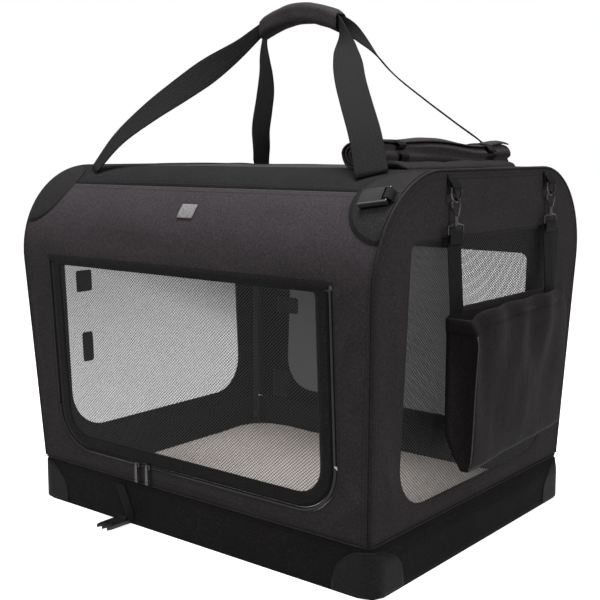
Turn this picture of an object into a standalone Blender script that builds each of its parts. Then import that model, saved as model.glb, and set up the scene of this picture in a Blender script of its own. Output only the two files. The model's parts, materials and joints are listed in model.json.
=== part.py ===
"""Soft folding dog crate: two tube hoops on a base frame, dressed in cloth and mesh.

Metres, +Z up. X runs along the crate, the front door faces -Y and the pouch hangs at the +X end.
The origin is on the floor, at the middle of the base.
"""
import math

import bmesh
import bpy
from mathutils import Matrix, Vector

# Overall cloth shell: the end walls lean out and the long walls bow into round shoulders
height = 0.619
top_length = 0.790
length_spread = 0.054
foot_length = top_length - length_spread
shoulder_depth = 0.6525
depth_spread = 0.0485
foot_depth = shoulder_depth - depth_spread
shoulder_radius = 0.160
seam_turn = math.radians(53)

# Distance under which points are merged
MERGE = 0.00001

# Cloth and the clearances that keep sewn pieces apart
cloth = 0.002
mesh_cloth = 0.001
gap = 0.0003
overrun = 0.050
piping_radius = 0.0025
piping_inset = 0.0015

# Base band and floor
skirt_end_margin = 0.013
skirt_side_margin = 0.006
skirt_length = foot_length + 2 * skirt_end_margin
skirt_depth = foot_depth + 2 * skirt_side_margin
skirt_height = 0.080
skirt_break = 0.055
skirt_corner = 0.026
skirt_top_corner = 0.009

# Steel tube frame
tube_radius = 0.006
base_tube_gap = 0.0005
hoop_gap = 0.0013
left_hoop_inset = 0.0135
left_pivot_height = 0.045
right_pivot_height = 0.079

# Corner fittings and their pins
clamp_reach = 0.016
clamp_height = 0.0165
stub_gap = 0.0015
lug_width = 0.011
lug_thickness = 0.005
slot_clearance = 0.0003
pin_radius = 0.002
pin_recess = 0.0003

# Floor board and mat
board_thickness = 0.004
board_chamfer = 0.050
mat_thickness = 0.027
mat_margin = 0.003
mat_corner = 0.080
mat_crown_inset = 0.026

# Front door, its zip and the strip that it hangs from
door_half_width = 0.317
door_bottom = 0.108
door_top = 0.4585
door_corner = 0.078
door_strip = 0.008
zip_width = 0.0065
door_border = 0.024

# Windows of the ends, the rear and the top
end_window_half_width = 0.237
end_window_bottom = 0.112
end_window_top = 0.514
end_window_corner = 0.075
rear_window_half_width = 0.290
rear_window_bottom = 0.112
rear_window_top = 0.4520
rear_window_corner = 0.070
window_top_corner = 0.012
top_window_left = 0.300
top_window_right = 0.222
top_window_half_depth = 0.145
top_window_corner = 0.030

# Rolled cover of the top door and its two ties
roll_radius = 0.024
roll_front_place = 0.262
roll_rear_place = 0.300
roll_front = 0.190
roll_rear = 0.172
roll_cloth = 0.0030
tie_width = 0.020
tie_thickness = 0.0015
tie_place_shares = (0.17, 0.80)

# Carrying handles
webbing_width = 0.050
webbing_thickness = 0.0025
front_handle_half_span = 0.310
front_handle_foot = 0.222
rear_handle_half_span = 0.290
rear_handle_foot = 0.222
handle_rise = 0.268
handle_foot_lift = 0.0018
handle_gather_share = 0.44
grip_side = 0.0050
grip_half_length = 0.088
grip_inner_width = 0.0150
grip_inner_height = 0.0192
grip_inner_corner = 0.0060
grip_padding = 0.0040

# Zip sliders and pulls
slider_length = 0.010
slider_height = 0.009
slider_thickness = 0.0045
slider_bevel = 0.0010
left_slider_place = -0.112
right_slider_place = -0.086
pull_width = 0.0065
pull_length = 0.032
pull_thickness = 0.0018

# Tabs, rings and snap hooks that carry the pouch
front_tab_place = -0.140
rear_tab_place = 0.176
tab_width = 0.0240
tab_thickness = 0.0018
tab_rise = 0.0195
ring_wire = 0.00175
ring_half_width = 0.0145
ring_drop = 0.0205
ring_height = 0.592
ring_stand_off = 0.0105
hook_wire = 0.0020
hook_bow = 0.0066
hook_arm = 0.0190
hook_nose_drop = 0.0040
barrel_radius = 0.0034
barrel_length = 0.0080
stem_radius = 0.0016
stem_head_radius = 0.0028
stem_head = 0.0018
eye_wire = 0.0016
eye_half_width = 0.0215
eye_height = 0.0120
collar_radius = 0.0038
collar_height = 0.0036
gate_wire = 0.0012

# Pouch
pouch_front = -0.156
pouch_rear = 0.208
pouch_bottom = 0.170
pouch_top = 0.412
pouch_depth = 0.052
pouch_rear_share = 0.42
pouch_wall = 0.0015
pouch_belly = 0.006
pouch_strap_overlap = 0.040
pouch_strap_width = 0.038
pouch_strap_slant = 0.008

# Buckles
corner_buckle_turn = math.radians(50)
corner_buckle_slant = math.radians(12)
corner_tab_start = 0.007
corner_tab_length = 0.009
corner_tab_width = 0.025
buckle_length = 0.046
buckle_width = 0.032
buckle_thickness = 0.009
buckle_wall = 0.002
buckle_bevel = 0.0015
buckle_bar_width = 0.005
buckle_slot = 0.004
closing_strap_place = -0.1595
closing_strap_slant = 0.022
closing_strap_top = 0.066
closing_strap_width = 0.025
closing_strap_foot = 0.0065
prong_length = 0.024
prong_width = 0.006
male_plate_length = 0.026
male_thickness = 0.006

# Plain label
label_width = 0.034
label_height = 0.026
label_place = -0.012
label_turn = math.radians(30)
label_thickness = 0.0010

# Finishes: colour, roughness, metallic
finish_values = {
    "shell_cloth": ((0.045, 0.040, 0.043), 0.85, 0.0),
    "dark_cloth": ((0.018, 0.017, 0.018), 0.88, 0.0),
    "mesh_cloth": ((0.030, 0.030, 0.031), 0.80, 0.0),
    "fleece": ((0.62, 0.55, 0.52), 0.95, 0.0),
    "webbing": ((0.040, 0.036, 0.038), 0.75, 0.0),
    "plastic": ((0.015, 0.015, 0.016), 0.35, 0.0),
    "board": ((0.10, 0.10, 0.10), 0.80, 0.0),
    "steel": ((0.06, 0.06, 0.062), 0.40, 0.6),
    "nickel": ((0.20, 0.20, 0.21), 0.30, 1.0),
    "label_cloth": ((0.70, 0.70, 0.70), 0.80, 0.0),
}

# Outline of an end: a leaning leg that runs into a round shoulder, then the flat crown
shoulder_y = shoulder_depth / 2 - shoulder_radius
shoulder_z = height - shoulder_radius
foot_y = foot_depth / 2
foot_to_centre = math.hypot(shoulder_y - foot_y, shoulder_z)
leg_length = math.sqrt(foot_to_centre ** 2 - shoulder_radius ** 2)
leg_lean = math.asin(shoulder_radius / foot_to_centre) - math.atan2(foot_y - shoulder_y, shoulder_z)
shoulder_end = leg_length + shoulder_radius * (math.pi / 2 + leg_lean)
seam_distance = leg_length + shoulder_radius * (seam_turn + leg_lean)
crown_distance = shoulder_end + shoulder_y
wall_start = (skirt_height + gap) / math.cos(leg_lean)
panel_end_margin = piping_inset + piping_radius + gap


def outline_point(distance, inset):
    """Depth and height of a point of the end outline, at a distance along it from the floor."""
    if distance <= leg_length:
        depth = foot_y + math.sin(leg_lean) * distance - math.cos(leg_lean) * inset
        return depth, math.cos(leg_lean) * distance + math.sin(leg_lean) * inset
    if distance <= shoulder_end:
        turn = (distance - leg_length) / shoulder_radius - leg_lean
        radius = shoulder_radius - inset
        return shoulder_y + radius * math.cos(turn), shoulder_z + radius * math.sin(turn)
    return shoulder_y - (distance - shoulder_end), height - inset


def wall_half_length(z):
    """Half of the crate's length at a height, at the outside of the end walls."""
    share = z / height
    return foot_length / 2 + (top_length - foot_length) / 2 * share


def shell_point(x_share, side, distance, inset):
    """Point of the long cloth panel: side is -1 at the front and 1 at the rear."""
    depth, z = outline_point(distance, inset)
    x = x_share * (wall_half_length(z) - panel_end_margin)
    return Vector((x, side * depth, z))


def wall_point(x, side, z, inset):
    """Point of a long wall at a given x and height, on its straight part or its shoulder."""
    if z <= math.cos(leg_lean) * leg_length:
        distance = z / math.cos(leg_lean)
    else:
        rise = min(1.0, (z - shoulder_z) / shoulder_radius)
        distance = leg_length + shoulder_radius * (math.asin(rise) + leg_lean)
    depth, level = outline_point(distance, inset)
    return Vector((x, side * depth, level))


def spread(first, last, count):
    """A list of count values from first to last."""
    return [first + (last - first) * index / (count - 1) for index in range(count)]


def make_material(name):
    """Principled material of a named finish, made once."""
    found = bpy.data.materials.get(name)
    if found:
        return found
    colour, roughness, metallic = finish_values[name]
    material = bpy.data.materials.new(name)
    material.use_nodes = True
    shader = material.node_tree.nodes["Principled BSDF"]
    shader.inputs["Base Color"].default_value = (*colour, 1.0)
    shader.inputs["Roughness"].default_value = roughness
    shader.inputs["Metallic"].default_value = metallic
    return material


def add_object(name, mesh, finish):
    """Object of a mesh, with a material of its own made from a finish."""
    item = bpy.data.objects.new(name, mesh)
    bpy.context.scene.collection.objects.link(item)
    material = make_material(finish).copy()
    material.name = name + "_" + finish
    mesh.materials.clear()
    mesh.materials.append(material)
    return item


def finish_mesh(bm, name, finish, origin=None, smooth=35):
    """Object from a bmesh: faces point out, round stretches are smooth, origin on the joint."""
    bmesh.ops.remove_doubles(bm, verts=bm.verts, dist=MERGE)
    bmesh.ops.recalc_face_normals(bm, faces=bm.faces)
    if origin is not None:
        bmesh.ops.translate(bm, verts=bm.verts, vec=-Vector(origin))
    mesh = bpy.data.meshes.new(name)
    bm.to_mesh(mesh)
    bm.free()
    mesh.shade_smooth()
    mesh.set_sharp_from_angle(angle=math.radians(smooth))
    item = add_object(name, mesh, finish)
    if origin is not None:
        item.location = origin
    return item


def grid_solid(outer, inner):
    """Closed bmesh between two equal grids of points, given as lists of rows."""
    bm = bmesh.new()
    sheets = [[[bm.verts.new(p) for p in row] for row in sheet] for sheet in (outer, inner)]
    rows, columns = len(outer), len(outer[0])
    for sheet in sheets:
        for r in range(rows - 1):
            for c in range(columns - 1):
                bm.faces.new((sheet[r][c], sheet[r][c + 1], sheet[r + 1][c + 1], sheet[r + 1][c]))
    first, second = sheets
    for r in range(rows - 1):
        for c in (0, columns - 1):
            bm.faces.new((first[r][c], first[r + 1][c], second[r + 1][c], second[r][c]))
    for c in range(columns - 1):
        for r in (0, rows - 1):
            bm.faces.new((first[r][c], first[r][c + 1], second[r][c + 1], second[r][c]))
    return bm


def ring_solid(rings, closed=False):
    """Closed bmesh through rings of points: capped at both ends, or joined end to end."""
    bm = bmesh.new()
    loops = [[bm.verts.new(p) for p in ring] for ring in rings]
    count = len(loops[0])
    pairs = list(zip(loops, loops[1:]))
    if closed:
        pairs.append((loops[-1], loops[0]))
    for low, high in pairs:
        for i in range(count):
            j = (i + 1) % count
            bm.faces.new((low[i], low[j], high[j], high[i]))
    if not closed:
        bm.faces.new(loops[0])
        bm.faces.new(loops[-1])
    return bm


def rounded_rectangle(half_width, half_depth, radius, steps=5):
    """Outline of a rectangle about the origin, with round corners."""
    points = []
    for quarter in range(4):
        sign_x = (1, -1, -1, 1)[quarter]
        sign_y = (1, 1, -1, -1)[quarter]
        for step in range(steps + 1):
            turn = math.pi / 2 * (quarter + step / steps)
            x = sign_x * (half_width - radius) + radius * math.cos(turn)
            y = sign_y * (half_depth - radius) + radius * math.sin(turn)
            points.append((x, y))
    return points


def opening_outline(left, right, bottom, top, low_radius, high_radius, steps=5):
    """Outline of an opening: wide round corners below, small ones above."""
    corners = (
        (right, top, -1, -1, high_radius, 0),
        (left, top, 1, -1, high_radius, 1),
        (left, bottom, 1, 1, low_radius, 2),
        (right, bottom, -1, 1, low_radius, 3),
    )
    points = []
    for x, z, inward_x, inward_z, radius, quarter in corners:
        for step in range(steps + 1):
            turn = math.pi / 2 * (quarter + step / steps)
            centre_x = x + inward_x * radius
            centre_z = z + inward_z * radius
            points.append((centre_x + radius * math.cos(turn), centre_z + radius * math.sin(turn)))
    return points


def prism(name, outline, axis, low, high):
    """Cutter: an outline pulled along an axis; its two coordinates are the other axes, in order."""
    place = {
        "X": lambda p, d: (d, p[0], p[1]),
        "Y": lambda p, d: (p[0], d, p[1]),
        "Z": lambda p, d: (p[0], p[1], d),
    }[axis]
    bm = ring_solid([[Vector(place(p, d)) for p in outline] for d in (low, high)])
    bmesh.ops.recalc_face_normals(bm, faces=bm.faces)
    return as_cutter(name, bm)


def as_cutter(name, bm):
    """Hidden guide object from a bmesh."""
    mesh = bpy.data.meshes.new(name)
    bm.to_mesh(mesh)
    bm.free()
    item = bpy.data.objects.new(name, mesh)
    bpy.context.scene.collection.objects.link(item)
    item.hide_render = True
    item.display_type = "WIRE"
    return item


def box_bmesh(low, high):
    """Box between two corners."""
    bm = bmesh.new()
    size = Vector(high) - Vector(low)
    middle = (Vector(high) + Vector(low)) / 2
    matrix = Matrix.Translation(middle) @ Matrix.Diagonal((*size, 1.0))
    bmesh.ops.create_cube(bm, size=1.0, matrix=matrix)
    return bm


def rod_bmesh(start, end, radius, sides=12):
    """Cylinder from one point to another."""
    start, end = Vector(start), Vector(end)
    axis = end - start
    turn = axis.to_track_quat("Z", "Y").to_matrix().to_4x4()
    bm = bmesh.new()
    bmesh.ops.create_cone(bm, cap_ends=True, segments=sides, radius1=radius, radius2=radius,
                          depth=axis.length, matrix=Matrix.Translation((start + end) / 2) @ turn)
    return bm


def cut(item, cutter, operation="DIFFERENCE"):
    """Boolean between an object and a guide."""
    modifier = item.modifiers.new(cutter.name, "BOOLEAN")
    modifier.operation = operation
    modifier.solver = "EXACT"
    modifier.object = cutter
    return item


def bevel(item, width, segments=2):
    """Rounded edges on a moulded piece."""
    modifier = item.modifiers.new("rounding", "BEVEL")
    modifier.width = width
    modifier.segments = segments
    modifier.limit_method = "ANGLE"
    return item


def smooth_path(points, steps=4):
    """Points of a smooth curve through the given ones."""
    points = [Vector(p) for p in points]
    padded = [2 * points[0] - points[1], *points, 2 * points[-1] - points[-2]]
    path = []
    for i in range(1, len(padded) - 2):
        before, start, end, after = padded[i - 1:i + 3]
        for step in range(steps):
            t = step / steps
            path.append(0.5 * ((2 * start) + (end - before) * t
                               + (2 * before - 5 * start + 4 * end - after) * t ** 2
                               + (3 * start - before - 3 * end + after) * t ** 3))
    path.append(points[-1])
    return path


def tube(name, points, radius, finish, cyclic=False, resolution=2, origin=None):
    """Round bar along a path, from a bevelled curve made into a mesh."""
    curve = bpy.data.curves.new(name, "CURVE")
    curve.dimensions = "3D"
    curve.bevel_depth = radius
    curve.bevel_resolution = resolution
    curve.use_fill_caps = True
    spline = curve.splines.new("POLY")
    spline.points.add(len(points) - 1)
    for point, target in zip(spline.points, points):
        point.co = (*target, 1.0)
    spline.use_cyclic_u = cyclic
    guide = bpy.data.objects.new(name + "_path", curve)
    bpy.context.scene.collection.objects.link(guide)
    mesh = bpy.data.meshes.new_from_object(guide.evaluated_get(bpy.context.evaluated_depsgraph_get()))
    bpy.data.objects.remove(guide)
    bm = bmesh.new()
    bm.from_mesh(mesh)
    return finish_mesh(bm, name, finish, origin)


def strap(name, points, across, widths, thickness, finish, origin=None):
    """Flat webbing along a path: across gives the direction of its width at each point."""
    rings = []
    ends = (0, len(points) - 1)
    for i, point in enumerate(points):
        ahead = points[min(i + 1, len(points) - 1)] - points[max(i - 1, 0)]
        ahead.normalize()
        lean = Vector() if i in ends else ahead * across[i].dot(ahead)
        side = (across[i] - lean).normalized() * widths[i] / 2
        face = ahead.cross(side).normalized() * thickness / 2
        rings.append([point + side + face, point - side + face, point - side - face, point + side - face])
    bm = ring_solid(rings)
    bmesh.ops.triangulate(bm, faces=bm.faces[:])
    return finish_mesh(bm, name, finish, origin)


def loop_strap(name, points, across, width, thickness, finish, origin=None):
    """Webbing of one width whose width direction never changes."""
    points = [Vector(p) for p in points]
    directions = [Vector(across)] * len(points)
    return strap(name, points, directions, [width] * len(points), thickness, finish, origin)


# Frame

def hoop_place(side):
    """Inset from the cloth, pivot height and pivot point of the left (-1) or right (1) hoop."""
    inset = cloth + hoop_gap + tube_radius
    outline_inset = inset + (left_hoop_inset if side < 0 else 0)
    pivot_z = left_pivot_height if side < 0 else right_pivot_height
    distance = pivot_z / math.cos(leg_lean)
    depth, level = outline_point(distance, outline_inset)
    x = side * (wall_half_length(level) - inset)
    return inset, outline_inset, Vector((x, depth, level))


def hoop_path(side):
    """Middle line of a hoop, from the front foot over the top to the rear foot."""
    inset, outline_inset, pivot = hoop_place(side)
    start = (pivot.z - tube_radius) / math.cos(leg_lean)
    distances = [start, leg_length * 0.5, *spread(leg_length, shoulder_end, 9)]
    front = [outline_point(d, outline_inset) for d in distances]
    path = []
    for depth, z in front:
        path.append(Vector((side * (wall_half_length(z) - inset), -depth, z)))
    for depth, z in reversed(front):
        path.append(Vector((side * (wall_half_length(z) - inset), depth, z)))
    return path


def build_hoop(name, side):
    """Steel hoop, forked at each foot over the lug of its corner fitting."""
    pivot = hoop_place(side)[2]
    hoop = tube(name, hoop_path(side), tube_radius, "steel", origin=(pivot.x, 0, pivot.z))
    for end, sign in (("front", -1), ("rear", 1)):
        centre = Vector((pivot.x, sign * pivot.y, pivot.z))
        half = Vector((tube_radius * 2, lug_thickness / 2 + slot_clearance, tube_radius * 2))
        low = centre - half
        high = centre + Vector((half.x, half.y, lug_width / 2 + slot_clearance * 3))
        cut(hoop, as_cutter(name + "_slot_" + end, box_bmesh(low, high)))
        reach = Vector((0, tube_radius * 2, 0))
        bore = rod_bmesh(centre - reach, centre + reach, pin_radius + gap)
        cut(hoop, as_cutter(name + "_bore_" + end, bore))
    return hoop


def base_tube_outline(grow=0.0):
    """Middle line of the base frame, seen from above."""
    inset = cloth + base_tube_gap + tube_radius
    outline = rounded_rectangle(skirt_length / 2 - inset, skirt_depth / 2 - inset, skirt_corner - inset)
    return outline, cloth + gap + tube_radius, tube_radius + grow


def build_base_frame():
    """Closed rectangle of steel tube on the bottom cloth."""
    outline, z, radius = base_tube_outline()
    return tube("base_frame", [Vector((x, y, z)) for x, y in outline], radius, "steel", cyclic=True)


def build_corner_fitting(end, side, end_sign, side_sign):
    """Moulded corner: a clamp against the base tube, a stub and the lug that carries a hoop's foot."""
    name = "fitting_" + end + "_" + side
    pivot = hoop_place(side_sign)[2]
    pivot = Vector((pivot.x, end_sign * pivot.y, pivot.z))
    floor = cloth + gap
    reach = Vector((side_sign * clamp_reach, end_sign * clamp_reach, 0))
    inner = Vector((pivot.x, pivot.y, floor)) - reach
    outer = Vector((pivot.x, pivot.y, floor + clamp_height)) + reach
    low = Vector((min(inner.x, outer.x), min(inner.y, outer.y), floor))
    high = Vector((max(inner.x, outer.x), max(inner.y, outer.y), floor + clamp_height))
    bm = box_bmesh(low, high)
    origin = Vector((pivot.x, pivot.y, floor))
    fitting = finish_mesh(bm, name, "plastic", origin)
    outline, tube_z, grown = base_tube_outline(gap)
    cut(fitting, prism(name + "_inside", outline, "Z", 0, height), "INTERSECT")
    ring = tube(name + "_tube", [Vector((x, y, tube_z)) for x, y in outline], grown, "steel", cyclic=True)
    ring.hide_render = True
    ring.display_type = "WIRE"
    cut(fitting, ring)
    stub_foot = tube_z + grown + gap
    stub_top = pivot.z - tube_radius - stub_gap
    stub = rod_bmesh((pivot.x, pivot.y, stub_foot), (pivot.x, pivot.y, stub_top), tube_radius, 16)
    cut(fitting, as_cutter(name + "_stub", stub), "UNION")
    half = lug_width / 2
    arch = [(pivot.x + half * math.cos(t), pivot.z + half * math.sin(t)) for t in spread(0, math.pi, 9)]
    sink = stub_top - stub_gap
    arch = [(pivot.x + half, sink), *arch, (pivot.x - half, sink)]
    lug_low = pivot.y - lug_thickness / 2
    cut(fitting, prism(name + "_lug", arch, "Y", lug_low, lug_low + lug_thickness), "UNION")
    reach = Vector((0, tube_radius * 2, 0))
    bore = rod_bmesh(pivot - reach, pivot + reach, pin_radius + gap)
    cut(fitting, as_cutter(name + "_bore", bore))
    half_pin = Vector((0, tube_radius - pin_recess, 0))
    pin = rod_bmesh(pivot - half_pin, pivot + half_pin, pin_radius)
    finish_mesh(pin, "pin_" + end + "_" + side, "nickel", pivot)


# Floor

def build_floor():
    """Bottom cloth, stiff board and the fleece mat that lies on it."""
    outline = rounded_rectangle(skirt_length / 2, skirt_depth / 2, skirt_corner, 6)
    rings = [[Vector((x, y, z)) for x, y in outline] for z in (0, cloth)]
    finish_mesh(ring_solid(rings), "base_cloth", "dark_cloth")
    inset = cloth + base_tube_gap + tube_radius * 2 + gap
    half_x, half_y = skirt_length / 2 - inset, skirt_depth / 2 - inset
    board = []
    for sx, sy, along_x in ((1, 1, 0), (1, 1, 1), (-1, 1, 1), (-1, 1, 0), (-1, -1, 0), (-1, -1, 1),
                            (1, -1, 1), (1, -1, 0)):
        x = half_x - (board_chamfer if along_x else 0)
        y = half_y - (0 if along_x else board_chamfer)
        board.append((sx * x, sy * y))
    low = cloth + gap
    rings = [[Vector((x, y, z)) for x, y in board] for z in (low, low + board_thickness)]
    finish_mesh(ring_solid(rings), "floor_board", "board")
    low = low + board_thickness + gap
    levels = ((0.0, 0.30), (0.22, 0.0), (0.55, 0.0), (0.84, 0.22), (0.97, 0.62), (1.0, 1.0))
    rings = []
    for rise_share, inset_share in levels:
        draw = mat_margin + mat_crown_inset * inset_share
        ring = rounded_rectangle(half_x - draw, half_y - draw, mat_corner - draw, 5)
        rings.append([Vector((x, y, low + mat_thickness * rise_share)) for x, y in ring])
    finish_mesh(ring_solid(rings), "floor_mat", "fleece")


def build_skirt():
    """Base band that draws in to the foot of the walls."""
    top_x = wall_half_length(skirt_height)
    top_y = outline_point(wall_start, 0)[0]
    levels = (
        (cloth + gap, skirt_length / 2, skirt_depth / 2, skirt_corner),
        (skirt_break, skirt_length / 2, skirt_depth / 2, skirt_corner),
        (skirt_height, top_x, top_y, skirt_top_corner),
    )
    rings = []
    for wall in (0, cloth):
        ordered = levels if wall == 0 else levels[::-1]
        for z, half_x, half_y, radius in ordered:
            ring = rounded_rectangle(half_x - wall, half_y - wall, radius - wall, 5)
            rings.append([Vector((x, y, z)) for x, y in ring])
    finish_mesh(ring_solid(rings, closed=True), "base_skirt", "dark_cloth")


# Long panels

def long_distances():
    """Distances of a long wall's rows, from the base band to the top seam."""
    return [*spread(wall_start, leg_length, 5), *spread(leg_length, seam_distance, 8)[1:]]


def long_slab(name, side, finish, low_inset, high_inset, columns=5, origin=None):
    """Cloth of a long wall between two insets, from the base band to the top seam."""
    shares = spread(-1, 1, columns)
    layers = []
    for inset in (low_inset, high_inset):
        rows = long_distances()
        layers.append([[shell_point(s, side, d, inset) for s in shares] for d in rows])
    return finish_mesh(grid_solid(*layers), name, finish, origin)


def long_prism(name, side, outline):
    """Cutter through a long wall."""
    near = side * (foot_y - overrun)
    far = side * (shoulder_depth / 2 + overrun)
    return prism(name, outline, "Y", min(near, far), max(near, far))


def door_outline(shrink, top):
    """Outline of the door opening, drawn in by a distance at the sides and below."""
    half = door_half_width - shrink
    return opening_outline(-half, half, door_bottom + shrink, top, door_corner - shrink, gap)


def build_front():
    """Front wall, the zip round the door and the door with its mesh."""
    panel = long_slab("front_panel", -1, "shell_cloth", 0, cloth)
    cut(panel, long_prism("door_opening", -1, door_outline(0, door_top)))
    outer = door_outline(gap, door_top - gap)
    inner = door_outline(gap + zip_width, door_top + overrun)
    low, bend, high = door_bottom - overrun, door_bottom + door_corner, door_top + overrun
    reach = door_half_width + overrun
    split = gap / 2
    runs = (
        ("zip_left_run", (-reach, 0, bend + split, high)),
        ("zip_bottom_run", (-reach, reach, low, bend - split)),
        ("zip_right_run", (0, reach, bend + split, high)),
    )
    for name, (left, right, foot, head) in runs:
        run = long_slab(name, -1, "dark_cloth", 0, cloth)
        cut(run, long_prism(name + "_outside", -1, outer), "INTERSECT")
        cut(run, long_prism(name + "_inside", -1, inner))
        part = [(left, foot), (right, foot), (right, head), (left, head)]
        cut(run, long_prism(name + "_part", -1, part), "INTERSECT")
    hinge_z = door_top - door_strip
    strip_half = door_half_width - zip_width - gap * 2
    strip = long_slab("door_hinge_strip", -1, "shell_cloth", 0, cloth)
    frame = [(-strip_half, hinge_z + gap), (strip_half, hinge_z + gap),
             (strip_half, door_top - gap), (-strip_half, door_top - gap)]
    cut(strip, long_prism("strip_outline", -1, frame), "INTERSECT")
    axis = wall_point(0, -1, hinge_z, 0)
    edge = gap * 2 + zip_width
    mesh_edge = edge + door_border
    border = long_slab("front_door_border", -1, "dark_cloth", 0, cloth, origin=axis)
    cut(border, long_prism("door_border_outside", -1, door_outline(edge, hinge_z)), "INTERSECT")
    cut(border, long_prism("door_border_inside", -1, door_outline(mesh_edge, hinge_z + overrun)))
    margin = (cloth - mesh_cloth) / 2
    mesh = long_slab("front_door_mesh", -1, "mesh_cloth", margin, cloth - margin, origin=axis)
    cut(mesh, long_prism("door_mesh_outline", -1, door_outline(mesh_edge + gap, hinge_z)), "INTERSECT")


def build_rear():
    """Rear wall and its mesh window."""
    def outline(shrink):
        half = rear_window_half_width - shrink
        return opening_outline(-half, half, rear_window_bottom + shrink, rear_window_top - shrink,
                               rear_window_corner - shrink, window_top_corner - shrink)

    panel = long_slab("rear_panel", 1, "shell_cloth", 0, cloth)
    cut(panel, long_prism("rear_opening", 1, outline(0)))
    margin = (cloth - mesh_cloth) / 2
    mesh = long_slab("rear_window", 1, "mesh_cloth", margin, cloth - margin)
    cut(mesh, long_prism("rear_window_outline", 1, outline(gap)), "INTERSECT")


def crown_slab(name, finish, low_inset, high_inset):
    """Cloth of the crown, from the front seam over the top to the rear seam."""
    seam = seam_distance + gap
    arc = spread(seam, shoulder_end, 4)
    places = [(-1, d) for d in arc] + [(-1, crown_distance)] + [(1, d) for d in reversed(arc)]
    layers = []
    for inset in (low_inset, high_inset):
        rows = [[shell_point(s, side, d, inset) for s in spread(-1, 1, 5)] for side, d in places]
        layers.append(rows)
    return finish_mesh(grid_solid(*layers), name, finish, (0, 0, height))


def roll_place(y):
    """X of the rolled cover's middle at a depth: it lies a little askew."""
    share = (y + roll_front) / (roll_front + roll_rear)
    return roll_front_place + (roll_rear_place - roll_front_place) * share


def build_top():
    """Top panel with its mesh window, the rolled cover and the ties that hold it."""
    def outline(shrink):
        half = top_window_half_depth - shrink
        return opening_outline(-top_window_left + shrink, top_window_right - shrink, -half, half,
                               top_window_corner - shrink, top_window_corner - shrink)

    low, high = height - overrun, height + overrun
    panel = crown_slab("top_panel", "shell_cloth", 0, cloth)
    cut(panel, prism("top_opening", outline(0), "Z", low, high))
    margin = (cloth - mesh_cloth) / 2
    mesh = crown_slab("top_window", "mesh_cloth", margin, cloth - margin)
    cut(mesh, prism("top_window_outline", outline(gap), "Z", low, high), "INTERSECT")
    centre_z = height + gap + tie_thickness + gap + roll_radius
    spiral = []
    for turn in spread(0, 2 * math.pi, 25):
        radius = roll_radius - roll_cloth * turn / (2 * math.pi)
        angle = turn - math.pi / 2
        spiral.append((radius * math.cos(angle), centre_z + radius * math.sin(angle)))
    rings = []
    for y in (-roll_front, roll_rear):
        rings.append([Vector((roll_place(y) + x, y, z)) for x, z in spiral])
    finish_mesh(ring_solid(rings), "top_roll", "shell_cloth")
    for name, share in zip(("roll_tie_front", "roll_tie_rear"), tie_place_shares):
        near = (roll_front + roll_rear) * share - roll_front
        inner = roll_radius + gap
        rings = []
        for radius, y in ((inner, near), (inner + tie_thickness, near),
                          (inner + tie_thickness, near + tie_width), (inner, near + tie_width)):
            ring = []
            for turn in spread(0, 2 * math.pi, 25)[:-1]:
                x = roll_place(y) + radius * math.cos(turn)
                ring.append(Vector((x, y, centre_z + radius * math.sin(turn))))
            rings.append(ring)
        finish_mesh(ring_solid(rings, closed=True), name, "webbing")


# End walls

def end_outline(inset):
    """Closed outline of an end wall above the base band, as depth and height."""
    distances = [wall_start, *spread(leg_length, shoulder_end, 9)]
    rear = [outline_point(d, inset) for d in distances]
    rear[0] = (rear[0][0], skirt_height + gap)
    return [(-y, z) for y, z in rear] + [(y, z) for y, z in reversed(rear)]


def end_slab(name, side, finish, outline, low_inset, high_inset):
    """Flat leaning cloth of an end wall between two insets from its outside."""
    rings = []
    for inset in (low_inset, high_inset):
        rings.append([Vector((side * (wall_half_length(z) - inset), y, z)) for y, z in outline])
    return finish_mesh(ring_solid(rings), name, finish)


def build_end(end, side):
    """End wall, its window and the piping round it."""
    def window(shrink):
        half = end_window_half_width - shrink
        return opening_outline(-half, half, end_window_bottom + shrink, end_window_top - shrink,
                               end_window_corner - shrink, window_top_corner - shrink)

    panel = end_slab(end + "_end_panel", side, "shell_cloth", end_outline(panel_end_margin), 0, cloth)
    near = side * (foot_length / 2 - overrun)
    far = side * (top_length / 2 + overrun)
    cut(panel, prism(end + "_opening", window(0), "X", min(near, far), max(near, far)))
    margin = (cloth - mesh_cloth) / 2
    end_slab(end + "_window", side, "mesh_cloth", window(gap), margin, cloth - margin)
    lift = piping_radius * 0.2
    distances = [wall_start + lift, *spread(leg_length, shoulder_end, 9)]
    half = [outline_point(d, piping_inset) for d in distances]
    points = [(-y, z) for y, z in half] + [(y, z) for y, z in reversed(half)]
    path = [Vector((side * (wall_half_length(z) - piping_inset), y, z)) for y, z in points]
    tube(end + "_piping", path, piping_radius, "dark_cloth", resolution=1)


# Handles

# Places along half of a handle: shares of its half span, of its foot's depth and of its rise
front_handle_shares = ((1.0, 1.0, 0.0), (0.89, 0.858, 0.204), (0.752, 0.686, 0.375),
                       (0.614, 0.497, 0.526), (0.494, 0.306, 0.666), (0.384, 0.139, 0.793),
                       (0.28, 0.012, 0.918), (0.13, 0.0, 0.982), (0.0, 0.0, 1.0))
rear_handle_shares = ((1.0, 1.0, 0.0), (0.92, 0.875, 0.158), (0.789, 0.678, 0.304),
                      (0.645, 0.50, 0.453), (0.505, 0.319, 0.612), (0.405, 0.145, 0.790),
                      (0.30, 0.012, 0.918), (0.14, 0.0, 0.982), (0.0, 0.0, 1.0))
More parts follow.
